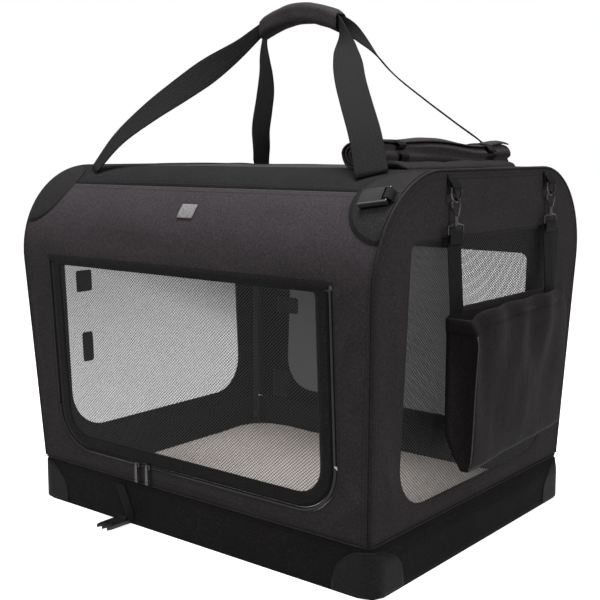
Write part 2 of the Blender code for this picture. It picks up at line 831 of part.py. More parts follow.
# How the webbing of each leg lies: share of the half span, then the direction across the webbing
front_lay_shares = (((0.31, 0.0, 0.0, -1.0), (0.45, 0.59, 0.34, -0.73), (1.0, 0.85, -0.50, -0.185)),
                    ((0.31, 0.0, 0.0, -1.0), (0.45, -0.75, -0.64, -0.17), (1.0, -0.75, -0.64, -0.237)))
rear_lay_shares = (((0.31, 0.0, 0.0, -1.0), (0.45, 0.77, -0.03, -0.64), (1.0, 0.90, -0.25, 0.093)),
                   ((0.31, 0.0, 0.0, -1.0), (0.45, 0.63, -0.76, -0.16), (0.90, 0.62, -0.77, -0.15),
                    (1.0, 0.72, -0.69, 0.256)))


def handle_foot_height(depth):
    """Height of the shell under a handle's foot."""
    turn = math.acos((depth - shoulder_y) / shoulder_radius)
    return shoulder_z + shoulder_radius * math.sin(turn)


def handle_path(shares, half_span, foot, side):
    """Middle line of a handle, from its left foot to its right foot."""
    base = handle_foot_height(foot) + handle_foot_lift
    rise = height + handle_rise - base
    half = []
    for across, depth, lift in shares:
        y = side * (grip_side + (foot - grip_side) * depth)
        half.append(Vector((across * half_span, y, base + rise * lift)))
    left = [Vector((-p.x, p.y, p.z)) for p in half]
    return smooth_path(left + half[::-1][1:], 2)


def lay_across(shares, share):
    """Direction across a leg's webbing at a share of the half span."""
    for (low, *first), (high, *last) in zip(shares, shares[1:]):
        if share <= high:
            part = max(0.0, (share - low) / (high - low))
            return (Vector(first) * (1 - part) + Vector(last) * part).normalized()
    return Vector(shares[-1][1:]).normalized()


def build_handle(name, shares, lay_shares, half_span, foot, side):
    """Webbing handle, flat at its feet and gathered on edge at the grip."""
    path = handle_path(shares, half_span, foot, side)
    across, widths = [], []
    for point in path:
        share = min(1.0, abs(point.x) / half_span)
        spread_share = min(1.0, max(0.0, (share - 0.28) / 0.27))
        across.append(lay_across(lay_shares[0 if point.x < 0 else 1], share))
        widths.append(webbing_width * (handle_gather_share + (1 - handle_gather_share) * spread_share))
    origin = (0, side * foot, handle_foot_height(foot))
    return strap(name, path, across, widths, webbing_thickness, "webbing", origin)


def build_grip():
    """Padded sleeve that closes round both handles."""
    path = handle_path(front_handle_shares, front_handle_half_span, front_handle_foot, -1)
    stations = [p for p in path if abs(p.x) <= grip_half_length]
    rings = []
    for wall, order in ((0, 1), (grip_padding, -1)):
        outline = rounded_rectangle(grip_inner_width + wall, grip_inner_height + wall,
                                    grip_inner_corner + wall, 3)
        for point in stations[::order]:
            rings.append([Vector((point.x, y, point.z + z)) for y, z in outline])
    origin = (0, -front_handle_foot, handle_foot_height(front_handle_foot))
    finish_mesh(ring_solid(rings, closed=True), "grip_wrap", "shell_cloth", origin)


# Zip sliders

def build_slider(side_name, place):
    """Zip slider on the bottom run of the zip, with its hanging pull."""
    z = door_bottom + gap + zip_width / 2
    seat = wall_point(place, -1, z, 0).y - gap
    half = Vector((slider_length / 2, 0, slider_height / 2))
    low = Vector((place, seat - slider_thickness, z)) - half
    high = Vector((place, seat, z)) + half
    origin = ((low.x + high.x) / 2, seat - slider_thickness / 2, z)
    slider = finish_mesh(box_bmesh(low, high), "slider_" + side_name, "nickel", origin)
    bevel(slider, slider_bevel)
    top = z + slider_height * 0.2
    front = seat - slider_thickness - gap * 2
    corners = [(place - pull_width / 2, top - pull_length), (place + pull_width / 2, top - pull_length),
               (place + pull_width / 2 * 0.8, top), (place - pull_width / 2 * 0.8, top)]
    rings = [[Vector((x, y, level)) for x, level in corners] for y in (front - pull_thickness, front)]
    pivot = (place, front - pull_thickness / 2, top - pull_thickness / 2)
    pull = finish_mesh(ring_solid(rings), "pull_" + side_name, "nickel", pivot)
    eye = rod_bmesh((place, front - overrun, top - pull_length * 0.86),
                    (place, front + overrun, top - pull_length * 0.86), pull_width * 0.22)
    cut(pull, as_cutter("pull_eye_" + side_name, eye))


# Pouch and what carries it

def ring_x():
    """Where the rings hang, out from the right wall."""
    return wall_half_length(ring_height) + ring_stand_off


def build_tab(name, place):
    """Folded webbing tab sewn to the right wall, round the bar of a ring."""
    x = ring_x()
    turn_radius = ring_wire + gap * 2 + tab_thickness / 2
    wall = wall_half_length(ring_height + tab_rise) + gap + tab_thickness / 2
    path = [Vector((wall, place, ring_height + tab_rise)),
            Vector((wall + gap, place, ring_height + tab_rise * 0.6))]
    for turn in spread(math.pi, 2 * math.pi, 7):
        path.append(Vector((x + turn_radius * math.cos(turn), place, ring_height + turn_radius * math.sin(turn))))
    outer = wall + tab_thickness + gap * 2
    path.append(Vector((outer + gap * 2, place, ring_height + tab_rise * 0.62)))
    path.append(Vector((outer, place, ring_height + tab_rise)))
    loop_strap(name, path, (0, 1, 0), tab_width, tab_thickness, "webbing")


def build_ring(name, place):
    """D-shaped ring whose straight bar lies in the tab."""
    x = ring_x()
    half = ring_half_width
    bend = ring_drop - half * 0.9
    points = [Vector((x, place - half, ring_height)), Vector((x, place + half, ring_height))]
    for turn in spread(0, math.pi, 9):
        y = place + half * math.cos(turn)
        z = ring_height - bend - (ring_drop - bend) * math.sin(turn)
        points.append(Vector((x, y, z)))
    tube(name, points, ring_wire, "nickel", cyclic=True, origin=(x, place, ring_height))


def hook_heights():
    """Heights of a snap hook: middle of its bow, top of its barrel, top of the eye's collar."""
    ring_bottom = ring_height - ring_drop
    bow = ring_bottom - (hook_bow - hook_wire - ring_wire - gap)
    barrel_top = bow - hook_arm
    collar_top = barrel_top - barrel_length - gap
    return bow, barrel_top, collar_top


def build_hook(name, gate_name, place):
    """Snap hook that hangs in a ring: bow, barrel and a stem held in the eye's collar."""
    x = ring_x()
    bow, barrel_top, collar_top = hook_heights()
    path = [Vector((x, place, barrel_top - hook_wire)), Vector((x, place, barrel_top + hook_wire)),
            Vector((x - hook_bow, place, bow - hook_bow))]
    for turn in spread(math.pi, 0, 9):
        path.append(Vector((x + hook_bow * math.cos(turn), place, bow + hook_bow * math.sin(turn))))
    path.append(Vector((x + hook_bow, place, bow - hook_nose_drop)))
    hook = tube(name, path, hook_wire, "nickel", origin=(x, place, barrel_top))
    barrel = rod_bmesh((x, place, barrel_top - barrel_length), (x, place, barrel_top), barrel_radius)
    cut(hook, as_cutter(name + "_barrel", barrel), "UNION")
    head_z = collar_top - collar_height - gap
    stem = rod_bmesh((x, place, head_z), (x, place, barrel_top - hook_wire), stem_radius, 8)
    cut(hook, as_cutter(name + "_stem", stem), "UNION")
    head = rod_bmesh((x, place, head_z - stem_head), (x, place, head_z), stem_head_radius, 8)
    cut(hook, as_cutter(name + "_head", head), "UNION")
    gate_top = bow - hook_nose_drop - gap * 2
    gate_foot = Vector((x + barrel_radius + gap * 2, place, barrel_top + gap * 2))
    gate = [gate_foot, Vector((x + hook_bow, place, gate_top))]
    tube(gate_name, gate, gate_wire, "nickel", resolution=1, origin=gate_foot)


def build_eye(name, place):
    """Swivel eye: a collar for the hook's stem and a wire loop for the pouch strap."""
    x = ring_x()
    collar_top = hook_heights()[2]
    top = collar_top - collar_height / 2
    half = eye_half_width
    drop = eye_height + collar_height
    slope = collar_height
    points = [Vector((x, place - half * 0.25, top)), Vector((x, place + half * 0.25, top)),
              Vector((x, place + half, top - slope)), Vector((x, place + half, top - drop)),
              Vector((x, place - half, top - drop)), Vector((x, place - half, top - slope))]
    eye = tube(name, points, eye_wire, "nickel", cyclic=True, resolution=1)
    collar = rod_bmesh((x, place, collar_top - collar_height), (x, place, collar_top), collar_radius)
    cut(eye, as_cutter(name + "_collar", collar), "UNION")
    bore = rod_bmesh((x, place, collar_top - overrun), (x, place, collar_top + overrun), stem_radius + gap)
    cut(eye, as_cutter(name + "_bore", bore))


def pouch_back():
    """X of the pouch's back, which hangs straight below the rings behind its straps."""
    return ring_x() - tab_thickness / 2 - gap - pouch_wall


def build_pouch_strap(name, place):
    """Strap from inside the pouch's back up round the eye's bar and down again."""
    x = ring_x()
    bar = hook_heights()[2] - collar_height / 2 - eye_height - collar_height
    turn_radius = eye_wire + gap * 2 + tab_thickness / 2
    sewn = place + pouch_strap_slant
    path = [Vector((x, sewn, pouch_top - pouch_strap_overlap)), Vector((x, sewn, pouch_top))]
    for turn in spread(math.pi, 0, 7):
        path.append(Vector((x + turn_radius * math.cos(turn), place, bar + turn_radius * math.sin(turn))))
    path.append(Vector((x + turn_radius * 0.6, place, bar - turn_radius * 5)))
    loop_strap(name, path, (0, 1, 0), pouch_strap_width, tab_thickness, "webbing")


def build_pouch():
    """Open box pouch, deeper at its front end, its foot slanting up to the back."""
    back, depth = pouch_back(), pouch_depth
    middle = (pouch_front + pouch_rear) / 2
    half = (pouch_rear - pouch_front) / 2
    levels = ((0.0, 0.78, 0.36), (0.06, 0.93, 0.27), (0.22, 0.98, 0.0), (0.35, 0.98, 0.0), (0.75, 1.0, 0.0),
              (0.91, 1.04, 0.0), (1.0, 1.04, 0.0))
    shell = pouch_top - pouch_bottom

    def taper(y):
        return pouch_rear_share + (1 - pouch_rear_share) * (pouch_rear - y) / (pouch_rear - pouch_front)

    def ring(z, depth_share, keel_share, wall):
        outline = []
        for sign in (-1, 1):
            y = middle + sign * (half - wall)
            outline.append(Vector((back + wall + depth * keel_share * taper(y), y, z)))
        for turn in spread(0, math.pi, 9):
            y = middle + (half - wall) * math.cos(turn)
            belly = pouch_belly * (1 - math.sin(turn))
            outline.append(Vector((back - wall + (depth * depth_share - belly) * taper(y), y, z)))
        return outline

    rings = [ring(pouch_bottom + shell * rise, depth_share, keel_share, 0)
             for rise, depth_share, keel_share in levels]
    floor = pouch_bottom + pouch_wall
    for rise, depth_share, keel_share in reversed(levels):
        z = max(floor, pouch_bottom + shell * rise)
        rings.append(ring(z, depth_share, keel_share, pouch_wall))
    finish_mesh(ring_solid(rings), "pouch", "shell_cloth")


# Buckles

def corner_frame():
    """Local frame of the top buckle: along its webbing, across it and out of the shoulder."""
    turn = corner_buckle_turn
    depth, z = outline_point(leg_length + shoulder_radius * (turn + leg_lean), 0)
    out = Vector((0, -math.cos(turn), math.sin(turn)))
    down = Vector((0, -math.sin(turn), -math.cos(turn)))
    along = Vector((-1, 0, 0)) * math.cos(corner_buckle_slant) + down * math.sin(corner_buckle_slant)
    side = out.cross(along)
    start = Vector((wall_half_length(z) - corner_tab_start, -depth, z))
    frame = Matrix((along, side, out)).transposed().to_4x4()
    return Matrix.Translation(start) @ frame


def build_corner_buckle():
    """Socket half of the closing buckle, on its webbing at the near top corner."""
    frame = corner_frame()
    bar = corner_tab_length + buckle_bar_width / 2
    wrap = math.hypot(buckle_bar_width / 2, buckle_bar_width / 2) + gap * 2 + tab_thickness / 2
    seat = gap + tab_thickness / 2
    lift = seat + wrap - buckle_thickness / 2
    centre = buckle_thickness / 2 + lift
    local = [(0, 0, seat), (corner_tab_length, 0, seat)]
    for turn in spread(-math.pi * 0.5, math.pi * 0.85, 10):
        local.append((bar + wrap * math.cos(turn), 0, centre + wrap * math.sin(turn)))
    local.append((corner_tab_length * 0.35, 0, seat + tab_thickness + gap * 2))
    path = [frame @ Vector(p) for p in local]
    across = frame.to_3x3() @ Vector((0, 1, 0))
    loop_strap("corner_tab", path, across, corner_tab_width - 2 * buckle_wall, tab_thickness, "webbing")
    start = corner_tab_length
    low = Vector((start, -buckle_width / 2, lift))
    high = Vector((start + buckle_length, buckle_width / 2, lift + buckle_thickness))
    bm = box_bmesh(low, high)
    bmesh.ops.transform(bm, matrix=frame, verts=bm.verts)
    buckle = finish_mesh(bm, "corner_buckle", "plastic", frame @ Vector((bar, 0, centre)))
    bevel(buckle, buckle_bevel)
    wall = buckle_wall
    mouth = start + buckle_slot + buckle_bar_width + wall
    half = corner_tab_width / 2
    reach = buckle_thickness
    boxes = {
        "mouth": ((mouth, -buckle_width / 2 + wall * 2, lift + wall),
                  (start + buckle_length + overrun, buckle_width / 2 - wall * 2, lift + buckle_thickness - wall)),
        "slot": ((bar + buckle_bar_width / 2, -half, lift - reach),
                 (bar + buckle_bar_width / 2 + buckle_slot, half, lift + buckle_thickness + reach)),
    }
    for key, (low, high) in boxes.items():
        bm = box_bmesh(low, high)
        bmesh.ops.transform(bm, matrix=frame, verts=bm.verts)
        cut(buckle, as_cutter("corner_buckle_" + key, bm))
    thin = (buckle_thickness - buckle_bar_width) / 2
    for key, z_low, z_high in (("bar_top", lift + buckle_thickness - thin, lift + buckle_thickness + reach),
                               ("bar_under", lift - reach, lift + thin)):
        low = (bar - buckle_bar_width, -half, z_low)
        high = (bar + buckle_bar_width / 2 + buckle_slot, half, z_high)
        bm = box_bmesh(low, high)
        bmesh.ops.transform(bm, matrix=frame, verts=bm.verts)
        cut(buckle, as_cutter("corner_buckle_" + key, bm))


def build_closing_strap():
    """Webbing from the front of the base band, with the pronged half of the buckle on the floor."""
    x = closing_strap_place + closing_strap_slant
    half = tab_thickness / 2
    face = skirt_depth / 2 + gap + half
    foot = closing_strap_foot
    bend = foot
    plate_start = face + bend * 2
    bar = plate_start + buckle_bar_width / 2
    wrap = math.hypot(buckle_bar_width / 2, male_thickness / 2) + gap * 2 + half
    path = [(closing_strap_place, -face, closing_strap_top), (x, -face, foot + bend * 2)]
    for turn in spread(0, math.pi / 2, 5)[1:]:
        y = face + bend * (1 - math.cos(turn))
        path.append((x, -y, foot + bend * (1 - math.sin(turn)) - half))
    for turn in spread(-math.pi / 2, math.pi * 0.8, 10):
        path.append((x, -(bar + wrap * math.cos(turn)), foot + wrap + wrap * math.sin(turn) - half))
    path.append((x, -(plate_start - bend), foot + wrap * 0.9))
    loop_strap("closing_strap", path, (1, 0, 0), closing_strap_width - 2 * buckle_wall, tab_thickness,
               "webbing")
    low = foot + wrap - half - male_thickness / 2
    half_width = buckle_width / 2
    plate_end = plate_start + male_plate_length
    outline = [(-half_width, plate_start), (half_width, plate_start), (half_width, plate_end)]
    prongs = ((half_width - prong_width, half_width), (-prong_width / 2, prong_width / 2),
              (-half_width, -half_width + prong_width))
    for inner, outer in prongs:
        outline.append((outer, plate_end))
        outline.append((outer, plate_end + prong_length * 0.6))
        outline.append(((inner + outer) / 2, plate_end + prong_length))
        outline.append((inner, plate_end + prong_length * 0.6))
        outline.append((inner, plate_end))
    outline.append((-half_width, plate_end))
    unique = []
    for point in outline:
        if point not in unique:
            unique.append(point)
    rings = [[Vector((x + across, -along, z)) for across, along in unique]
             for z in (low, low + male_thickness)]
    male = finish_mesh(ring_solid(rings), "closing_buckle", "plastic", (x, -bar, low + male_thickness / 2))
    slot_half = closing_strap_width / 2
    slot = bar + buckle_bar_width / 2
    cutter = box_bmesh((x - slot_half, -slot - buckle_slot, low - overrun),
                       (x + slot_half, -slot, low + overrun))
    cut(male, as_cutter("closing_buckle_slot", cutter))


def build_label():
    """Plain woven label on the front shoulder."""
    start = leg_length + shoulder_radius * (label_turn + leg_lean)
    layers = []
    for inset in (-gap - label_thickness, -gap):
        rows = []
        for distance in spread(start, start + label_height, 4):
            depth, z = outline_point(distance, inset)
            rows.append([Vector((x, -depth, z)) for x in (label_place, label_place + label_width)])
        layers.append(rows)
    finish_mesh(grid_solid(*layers), "blank_label", "label_cloth")


def clear_scene():
    """Remove whatever the scene holds."""
    for item in list(bpy.data.objects):
        bpy.data.objects.remove(item, do_unlink=True)


def build_frame():
    """Steel frame with its corner fittings and pins."""
    build_base_frame()
    build_hoop("left_hoop", -1)
    build_hoop("right_hoop", 1)
    for end, end_sign in (("front", -1), ("rear", 1)):
        for side, side_sign in (("left", -1), ("right", 1)):
            build_corner_fitting(end, side, end_sign, side_sign)


def build_carrying():
    """Handles and the grip that joins them."""
    build_handle("front_handle", front_handle_shares, front_lay_shares, front_handle_half_span,
                 front_handle_foot, -1)
    build_handle("rear_handle", rear_handle_shares, rear_lay_shares, rear_handle_half_span,
                 rear_handle_foot, 1)
    build_grip()


def build_pouch_side():
    """Everything that hangs on the right wall."""
    for end, place in (("front", front_tab_place), ("rear", rear_tab_place)):
        build_tab("tab_" + end, place)
        build_ring("ring_" + end, place)
        build_hook("hook_" + end, "gate_" + end, place)
        build_eye("eye_" + end, place)
        build_pouch_strap("pouch_strap_" + end, place)
    build_pouch()


clear_scene()
build_frame()
build_floor()
build_skirt()
build_front()
build_rear()
build_top()
build_end("left", -1)
build_end("right", 1)
build_carrying()
build_slider("left", left_slider_place)
build_slider("right", right_slider_place)
build_pouch_side()
build_corner_buckle()
build_closing_strap()
build_label()
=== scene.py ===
"""Dresses the soft folding dog crate: cloth walls, mesh, webbing, fleece, zip and metal over its frame.

Metres, +Z up. X runs along the crate, the front door faces -Y, the pouch hangs at the +X end.
"""

import json
import logging
import math
from dataclasses import dataclass, field
from enum import Enum
from functools import cached_property, partial
from typing import Callable, Iterable, Sequence

import bmesh
import bpy
import numpy as np
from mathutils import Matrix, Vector, noise

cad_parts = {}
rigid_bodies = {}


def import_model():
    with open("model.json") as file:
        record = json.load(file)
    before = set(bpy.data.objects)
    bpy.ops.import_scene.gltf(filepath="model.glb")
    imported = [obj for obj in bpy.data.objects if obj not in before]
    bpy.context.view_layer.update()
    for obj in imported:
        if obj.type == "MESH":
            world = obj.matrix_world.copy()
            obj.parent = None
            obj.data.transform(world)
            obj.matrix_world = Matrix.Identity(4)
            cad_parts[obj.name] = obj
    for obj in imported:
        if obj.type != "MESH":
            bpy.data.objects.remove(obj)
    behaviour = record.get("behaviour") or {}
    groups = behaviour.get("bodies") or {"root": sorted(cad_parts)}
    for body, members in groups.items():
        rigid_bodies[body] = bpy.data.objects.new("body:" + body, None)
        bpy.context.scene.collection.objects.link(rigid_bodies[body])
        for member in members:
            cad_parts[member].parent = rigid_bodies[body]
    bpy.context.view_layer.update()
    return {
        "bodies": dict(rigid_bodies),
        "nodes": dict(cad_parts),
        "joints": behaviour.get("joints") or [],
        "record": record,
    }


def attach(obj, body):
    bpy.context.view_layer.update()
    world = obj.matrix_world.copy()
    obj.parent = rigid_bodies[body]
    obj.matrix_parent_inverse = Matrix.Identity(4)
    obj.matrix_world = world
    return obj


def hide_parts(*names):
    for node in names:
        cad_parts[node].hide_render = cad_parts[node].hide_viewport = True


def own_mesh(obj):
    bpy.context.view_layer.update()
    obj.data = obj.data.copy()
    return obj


log = logging.getLogger("crate")

Flat = tuple[float, float]
Colour = tuple[float, float, float]
Place = Callable[[float, float, float], Vector]

FOLD_ANCHOR = 0.080
SEAM_TURN = math.radians(53)
PLY = 0.0018  # thickness of cloth and of thin webbing
GAP = 0.0003  # clearance between sewn pieces
MESH_GROWTH = 1.016  # a mesh reaches this far behind the edge of its window
SHARP = 0.0005  # radius of a square corner
TURN = 2 * math.pi


class Side(Enum):
    """The two ends of an axis."""

    LOW = -1
    HIGH = 1


class Slot(Enum):
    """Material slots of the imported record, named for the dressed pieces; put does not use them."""

    SHELL = "shell_cloth"
    DARK = "dark_cloth"
    MESH = "mesh_cloth"
    FLEECE = "fleece"
    WEBBING = "webbing"
    PLASTIC = "plastic"
    LABEL = "label_cloth"


def spread(first: float, last: float, count: int) -> list[float]:
    """Evenly spaced values from the first to the last."""
    return [float(value) for value in np.linspace(first, last, count)]


def ease(value: float) -> float:
    """Smooth step of a value held between 0 and 1."""
    held = min(1.0, max(0.0, value))
    return held * held * (3 - 2 * held)


def bell(value: float, middle: float, width: float) -> float:
    """Bell curve: 1 at its middle, and near 0 a few widths away."""
    return math.exp(-(((value - middle) / width) ** 2))


def soft(x: float, y: float, z: float) -> float:
    """Smooth noise at a spot, from -1 to 1."""
    return noise.noise(Vector((x, y, z)))


# Shape of the crate


@dataclass(frozen=True)
class Shell:
    """The cloth shell's outline: leaning end walls, and long walls that bow into round shoulders."""

    height: float = 0.619
    top_length: float = 0.790
    foot_length: float = 0.736
    shoulder_depth: float = 0.6525
    foot_depth: float = 0.604
    radius: float = 0.160
    end_margin: float = 0.0043
    wall_foot: float = 0.0803

    @cached_property
    def centre(self) -> Flat:
        """Depth and height of the shoulder's centre."""
        return self.shoulder_depth / 2 - self.radius, self.height - self.radius

    @cached_property
    def leg(self) -> Flat:
        """Length of the straight leg and its lean from upright."""
        depth, z = self.centre
        foot = self.foot_depth / 2
        reach = math.hypot(depth - foot, z)
        lean = math.asin(self.radius / reach) - math.atan2(foot - depth, z)
        return math.sqrt(reach**2 - self.radius**2), lean

    @cached_property
    def shoulder_end(self) -> float:
        """Distance along the outline to the end of the shoulder."""
        return self.shoulder_distance(math.pi / 2)

    @cached_property
    def seam(self) -> float:
        """Distance along the outline to the top seam."""
        return self.shoulder_distance(SEAM_TURN)

    @cached_property
    def crown(self) -> float:
        """Distance along the outline to the middle of the top."""
        return self.shoulder_end + self.centre[0]

    def shoulder_distance(self, turn: float) -> float:
        """Distance along the outline of a turn round the shoulder, from level."""
        length, lean = self.leg
        return length + self.radius * (turn + lean)

    def outline(self, distance: float, lift: float = 0.0) -> Flat:
        """A point of the end outline.

        Args:
            distance: Length along the outline from the floor.
            lift: How far outside the outline.

        Returns:
            Its depth and height.
        """
        length, lean = self.leg
        depth, z = self.centre
        if distance <= length:
            foot = self.foot_depth / 2
            return (foot + math.sin(lean) * distance + math.cos(lean) * lift,
                    math.cos(lean) * distance - math.sin(lean) * lift)
        if distance <= self.shoulder_end:
            turn = (distance - length) / self.radius - lean
            return depth + (self.radius + lift) * math.cos(turn), z + (self.radius + lift) * math.sin(turn)
        return depth - (distance - self.shoulder_end), self.height + lift

    def distance(self, z: float) -> float:
        """Distance along the outline of a height below the crown."""
        length, lean = self.leg
        if z <= math.cos(lean) * length:
            return z / math.cos(lean)
        return self.shoulder_distance(math.asin(min(1.0, (z - self.centre[1]) / self.radius)))

    def half_length(self, z: float) -> float:
        """Half of the crate's length at a height."""
        return self.foot_length / 2 + (self.top_length - self.foot_length) / 2 * z / self.height

    def on_long(self, side: Side, x: float, distance: float, lift: float) -> Vector:
        """Point of a long wall at x, a distance along the outline and a lift."""
        depth, z = self.outline(distance, lift)
        return Vector((x, side.value * depth, z))

    def on_end(self, side: Side, y: float, z: float, lift: float) -> Vector:
        """Point of an end wall at a depth, a height and a lift."""
        return Vector((side.value * (self.half_length(z) + lift), y, z))

    def on_crown(self, x: float, across: float, lift: float) -> Vector:
        """Point of the top at x, a signed distance from the crown's middle and a lift."""
        depth, z = self.outline(self.crown - abs(across), lift)
        return Vector((x, math.copysign(depth, across), z))

    def to_end_seams(self, square: np.ndarray, distances: np.ndarray) -> np.ndarray:
        """Draws a cut that is 2 wide out to the end seams.

        Args:
            square: The cut's flat points, with x from -1 to 1.
            distances: Distance along the outline of each point.

        Returns:
            The same array.
        """
        for point, distance in zip(square, distances):
            point[0] *= self.half_length(self.outline(distance)[1]) - self.end_margin
        return square


SHELL = Shell()


@dataclass(frozen=True)
class Crease:
    """A fold in cloth, along a line of its flat cut."""

    start: Flat
    end: Flat
    width: float
    depth: float

    def lift(self, u: float, v: float) -> float:
        """How far the fold lifts the cloth at a flat point.

        Args:
            u: First flat coordinate.
            v: Second flat coordinate.

        Returns:
            The lift in metres.
        """
        du, dv = self.end[0] - self.start[0], self.end[1] - self.start[1]
        along = ((u - self.start[0]) * du + (v - self.start[1]) * dv) / (du * du + dv * dv)
        held = min(1.0, max(0.0, along))
        away = math.hypot(u - self.start[0] - du * held, v - self.start[1] - dv * held)
        taper = math.sin(math.pi * min(0.97, max(0.03, held)))
        return self.depth * taper * bell(away, 0.0, self.width)


@dataclass(frozen=True)
class Folds:
    """How a piece of cloth departs from its smooth shape: soft ripples and creases."""

    ripple: float = 0.0
    scale: float = 1.0
    seed: float = 0.0
    creases: tuple[Crease, ...] = ()

    def lift(self, u: float, v: float) -> float:
        """Lift of the cloth at a flat point."""
        spot = Vector((u * self.scale, v * self.scale, self.seed))
        wave = soft(*spot) + 0.45 * soft(*(spot * 2.3))
        return self.ripple * wave + sum(crease.lift(u, v) for crease in self.creases)


def runs(line: np.ndarray) -> np.ndarray:
    """Distance of each point along a line, from its first point."""
    return np.concatenate(([0.0], np.cumsum(np.linalg.norm(np.diff(line, axis=0), axis=1))))


def rounded(left: float, right: float, low: float, high: float, low_radius: float, high_radius: float,
            per_side: int) -> np.ndarray:
    """Outline of a rectangle with round corners, sampled evenly on each side.

    Args:
        left: Lowest first coordinate.
        right: Highest first coordinate.
        low: Lowest second coordinate.
        high: Highest second coordinate.
        low_radius: Radius of the two low corners.
        high_radius: Radius of the two high corners.
        per_side: Points on each side, corner to corner.

    Returns:
        An array of 4 * per_side points, counter-clockwise from the low left corner.
    """
    centres = []
    for index, (x, y, radius) in enumerate(((left, low, low_radius), (right, low, low_radius),
                                            (right, high, high_radius), (left, high, high_radius))):
        centre = (x + radius * (1 if x == left else -1), y + radius * (1 if y == low else -1))
        centres.append((centre, radius, (1 + index / 2) * math.pi % TURN))
    points = []
    for index in range(4):
        path = []
        for ((x, y), radius, turn), part in ((centres[index], (0.5, 1.0)),
                                             (centres[(index + 1) % 4], (0.0, 0.5))):
            for share in spread(*part, 9):
                angle = turn + share * math.pi / 2
                path.append((x + radius * math.cos(angle), y + radius * math.sin(angle)))
        line = np.array(path)
        steps = runs(line)
        wanted = np.linspace(0.0, steps[-1], per_side + 1)[:-1]
        points.append(np.stack([np.interp(wanted, steps, line[:, axis]) for axis in (0, 1)], axis=1))
    return np.concatenate(points)


def inset(outline: np.ndarray, share: float | Flat) -> np.ndarray:
    """An outline scaled about its middle by a share, or by one share for each direction."""
    middle = outline.mean(axis=0)
    return middle + (outline - middle) * np.array(share)


def outline_area(points: np.ndarray) -> float:
    """Area inside an outline."""
    x, y = points[:, 0], points[:, 1]
    return float(abs(np.dot(x, np.roll(y, -1)) - np.dot(y, np.roll(x, -1))) / 2)


# Meshes


def make_mesh(points: Sequence[Vector], faces: Sequence[Sequence[int]], flat: Sequence[Flat] | None = None,
              **values: Sequence[float]) -> bpy.types.Mesh:
    """Mesh with a UV map of its flat cut and values on its points.

    Args:
        points: Its points.
        faces: Point numbers of each face.
        flat: Flat place of each point, in metres, for the UV map.
        values: Named values, one for each point.

    Returns:
        The mesh, shaded smooth.
    """
    mesh = bpy.data.meshes.new("piece")
    mesh.from_pydata([tuple(point) for point in points], [], [tuple(face) for face in faces])
    if flat is not None:
        layer = mesh.uv_layers.new(name="flat")
        corner = np.zeros(len(mesh.loops), dtype=np.int32)
        mesh.loops.foreach_get("vertex_index", corner)
        layer.data.foreach_set("uv", np.array(flat, dtype=np.float32)[corner].ravel())
    for key, numbers in values.items():
        attribute = mesh.attributes.new(key, "FLOAT", "POINT")
        attribute.data.foreach_set("value", np.array(numbers, dtype=np.float32))
    mesh.shade_smooth()
    mesh.update()
    return mesh


def grid_faces(rows: int, count: int, around: bool = True, joined: bool = False) -> list[Sequence[int]]:
    """Faces between rows of points.

    Args:
        rows: How many rows.
        count: Points in each row.
        around: Whether a row's last point joins its first.
        joined: Whether the last row joins the first.

    Returns:
        Point numbers of each face.
    """
    faces: list[Sequence[int]] = []
    for row in range(rows if joined else rows - 1):
        low, high = row * count, (row + 1) % rows * count
        for index in range(count if around else count - 1):
            after = (index + 1) % count
            faces.append((low + index, low + after, high + after, high + index))
    return faces


def rework(mesh: bpy.types.Mesh, work: Callable[[bmesh.types.BMesh], object]) -> None:
    """Edits a mesh by way of bmesh.

    Args:
        mesh: The mesh.
        work: What is done to it.
    """
    bm = bmesh.new()
    bm.from_mesh(mesh)
    work(bm)
    bm.to_mesh(mesh)
    bm.free()


def face_out(mesh: bpy.types.Mesh, outward: Sequence[float]) -> None:
    """Turns an open sheet's faces so that they look outward."""
    total = sum((polygon.normal * polygon.area for polygon in mesh.polygons), Vector())
    if total.dot(Vector(outward)) < 0:
        mesh.flip_normals()


def loft(rings: Sequence[Sequence[Vector]], flat: Sequence[Flat] | None = None, closed: bool = False
         ) -> bpy.types.Mesh:
    """Closed mesh through rings of points.

    Args:
        rings: Rings with as many points each.
        flat: Flat place of each point, ring by ring.
        closed: Whether the last ring joins the first, or both are capped.

    Returns:
        The mesh, with its faces pointing out.
    """
    count = len(rings[0])
    faces = grid_faces(len(rings), count, joined=closed)
    if not closed:
        faces.append(list(range(count))[::-1])
        faces.append([(len(rings) - 1) * count + index for index in range(count)])
    mesh = make_mesh([point for ring in rings for point in ring], faces, flat)
    rework(mesh, lambda bm: bmesh.ops.recalc_face_normals(bm, faces=bm.faces))
    mesh.shade_smooth()
    return mesh


def tube_mesh(path: Sequence[Vector], radius: float, sides: int = 10, closed: bool = False) -> bpy.types.Mesh:
    """Round cord along a path.

    Args:
        path: Points of its middle line.
        radius: Its radius.
        sides: Points round it.
        closed: Whether its ends join.

    Returns:
        The mesh, with the run along it in its UV map.
    """
    rings, run = [], 0.0
    flat: list[Flat] = []
    normal = Vector((0, 0, 1))
    for index, point in enumerate(path):
        before = path[index - 1] if index or closed else point
        after = path[(index + 1) % len(path)] if index < len(path) - 1 or closed else point
        ahead = (after - before).normalized()
        side = normal.cross(ahead)
        if side.length < 1e-4:
            side = Vector((0, 1, 0)).cross(ahead)
        side.normalize()
        normal = ahead.cross(side)
        run += (point - path[index - 1]).length if index else 0.0
        turns = spread(0, TURN, sides + 1)[:-1]
        rings.append([point + radius * (math.cos(turn) * side + math.sin(turn) * normal) for turn in turns])
        flat.extend((radius * turn, run) for turn in turns)
    return loft(rings, flat, closed)


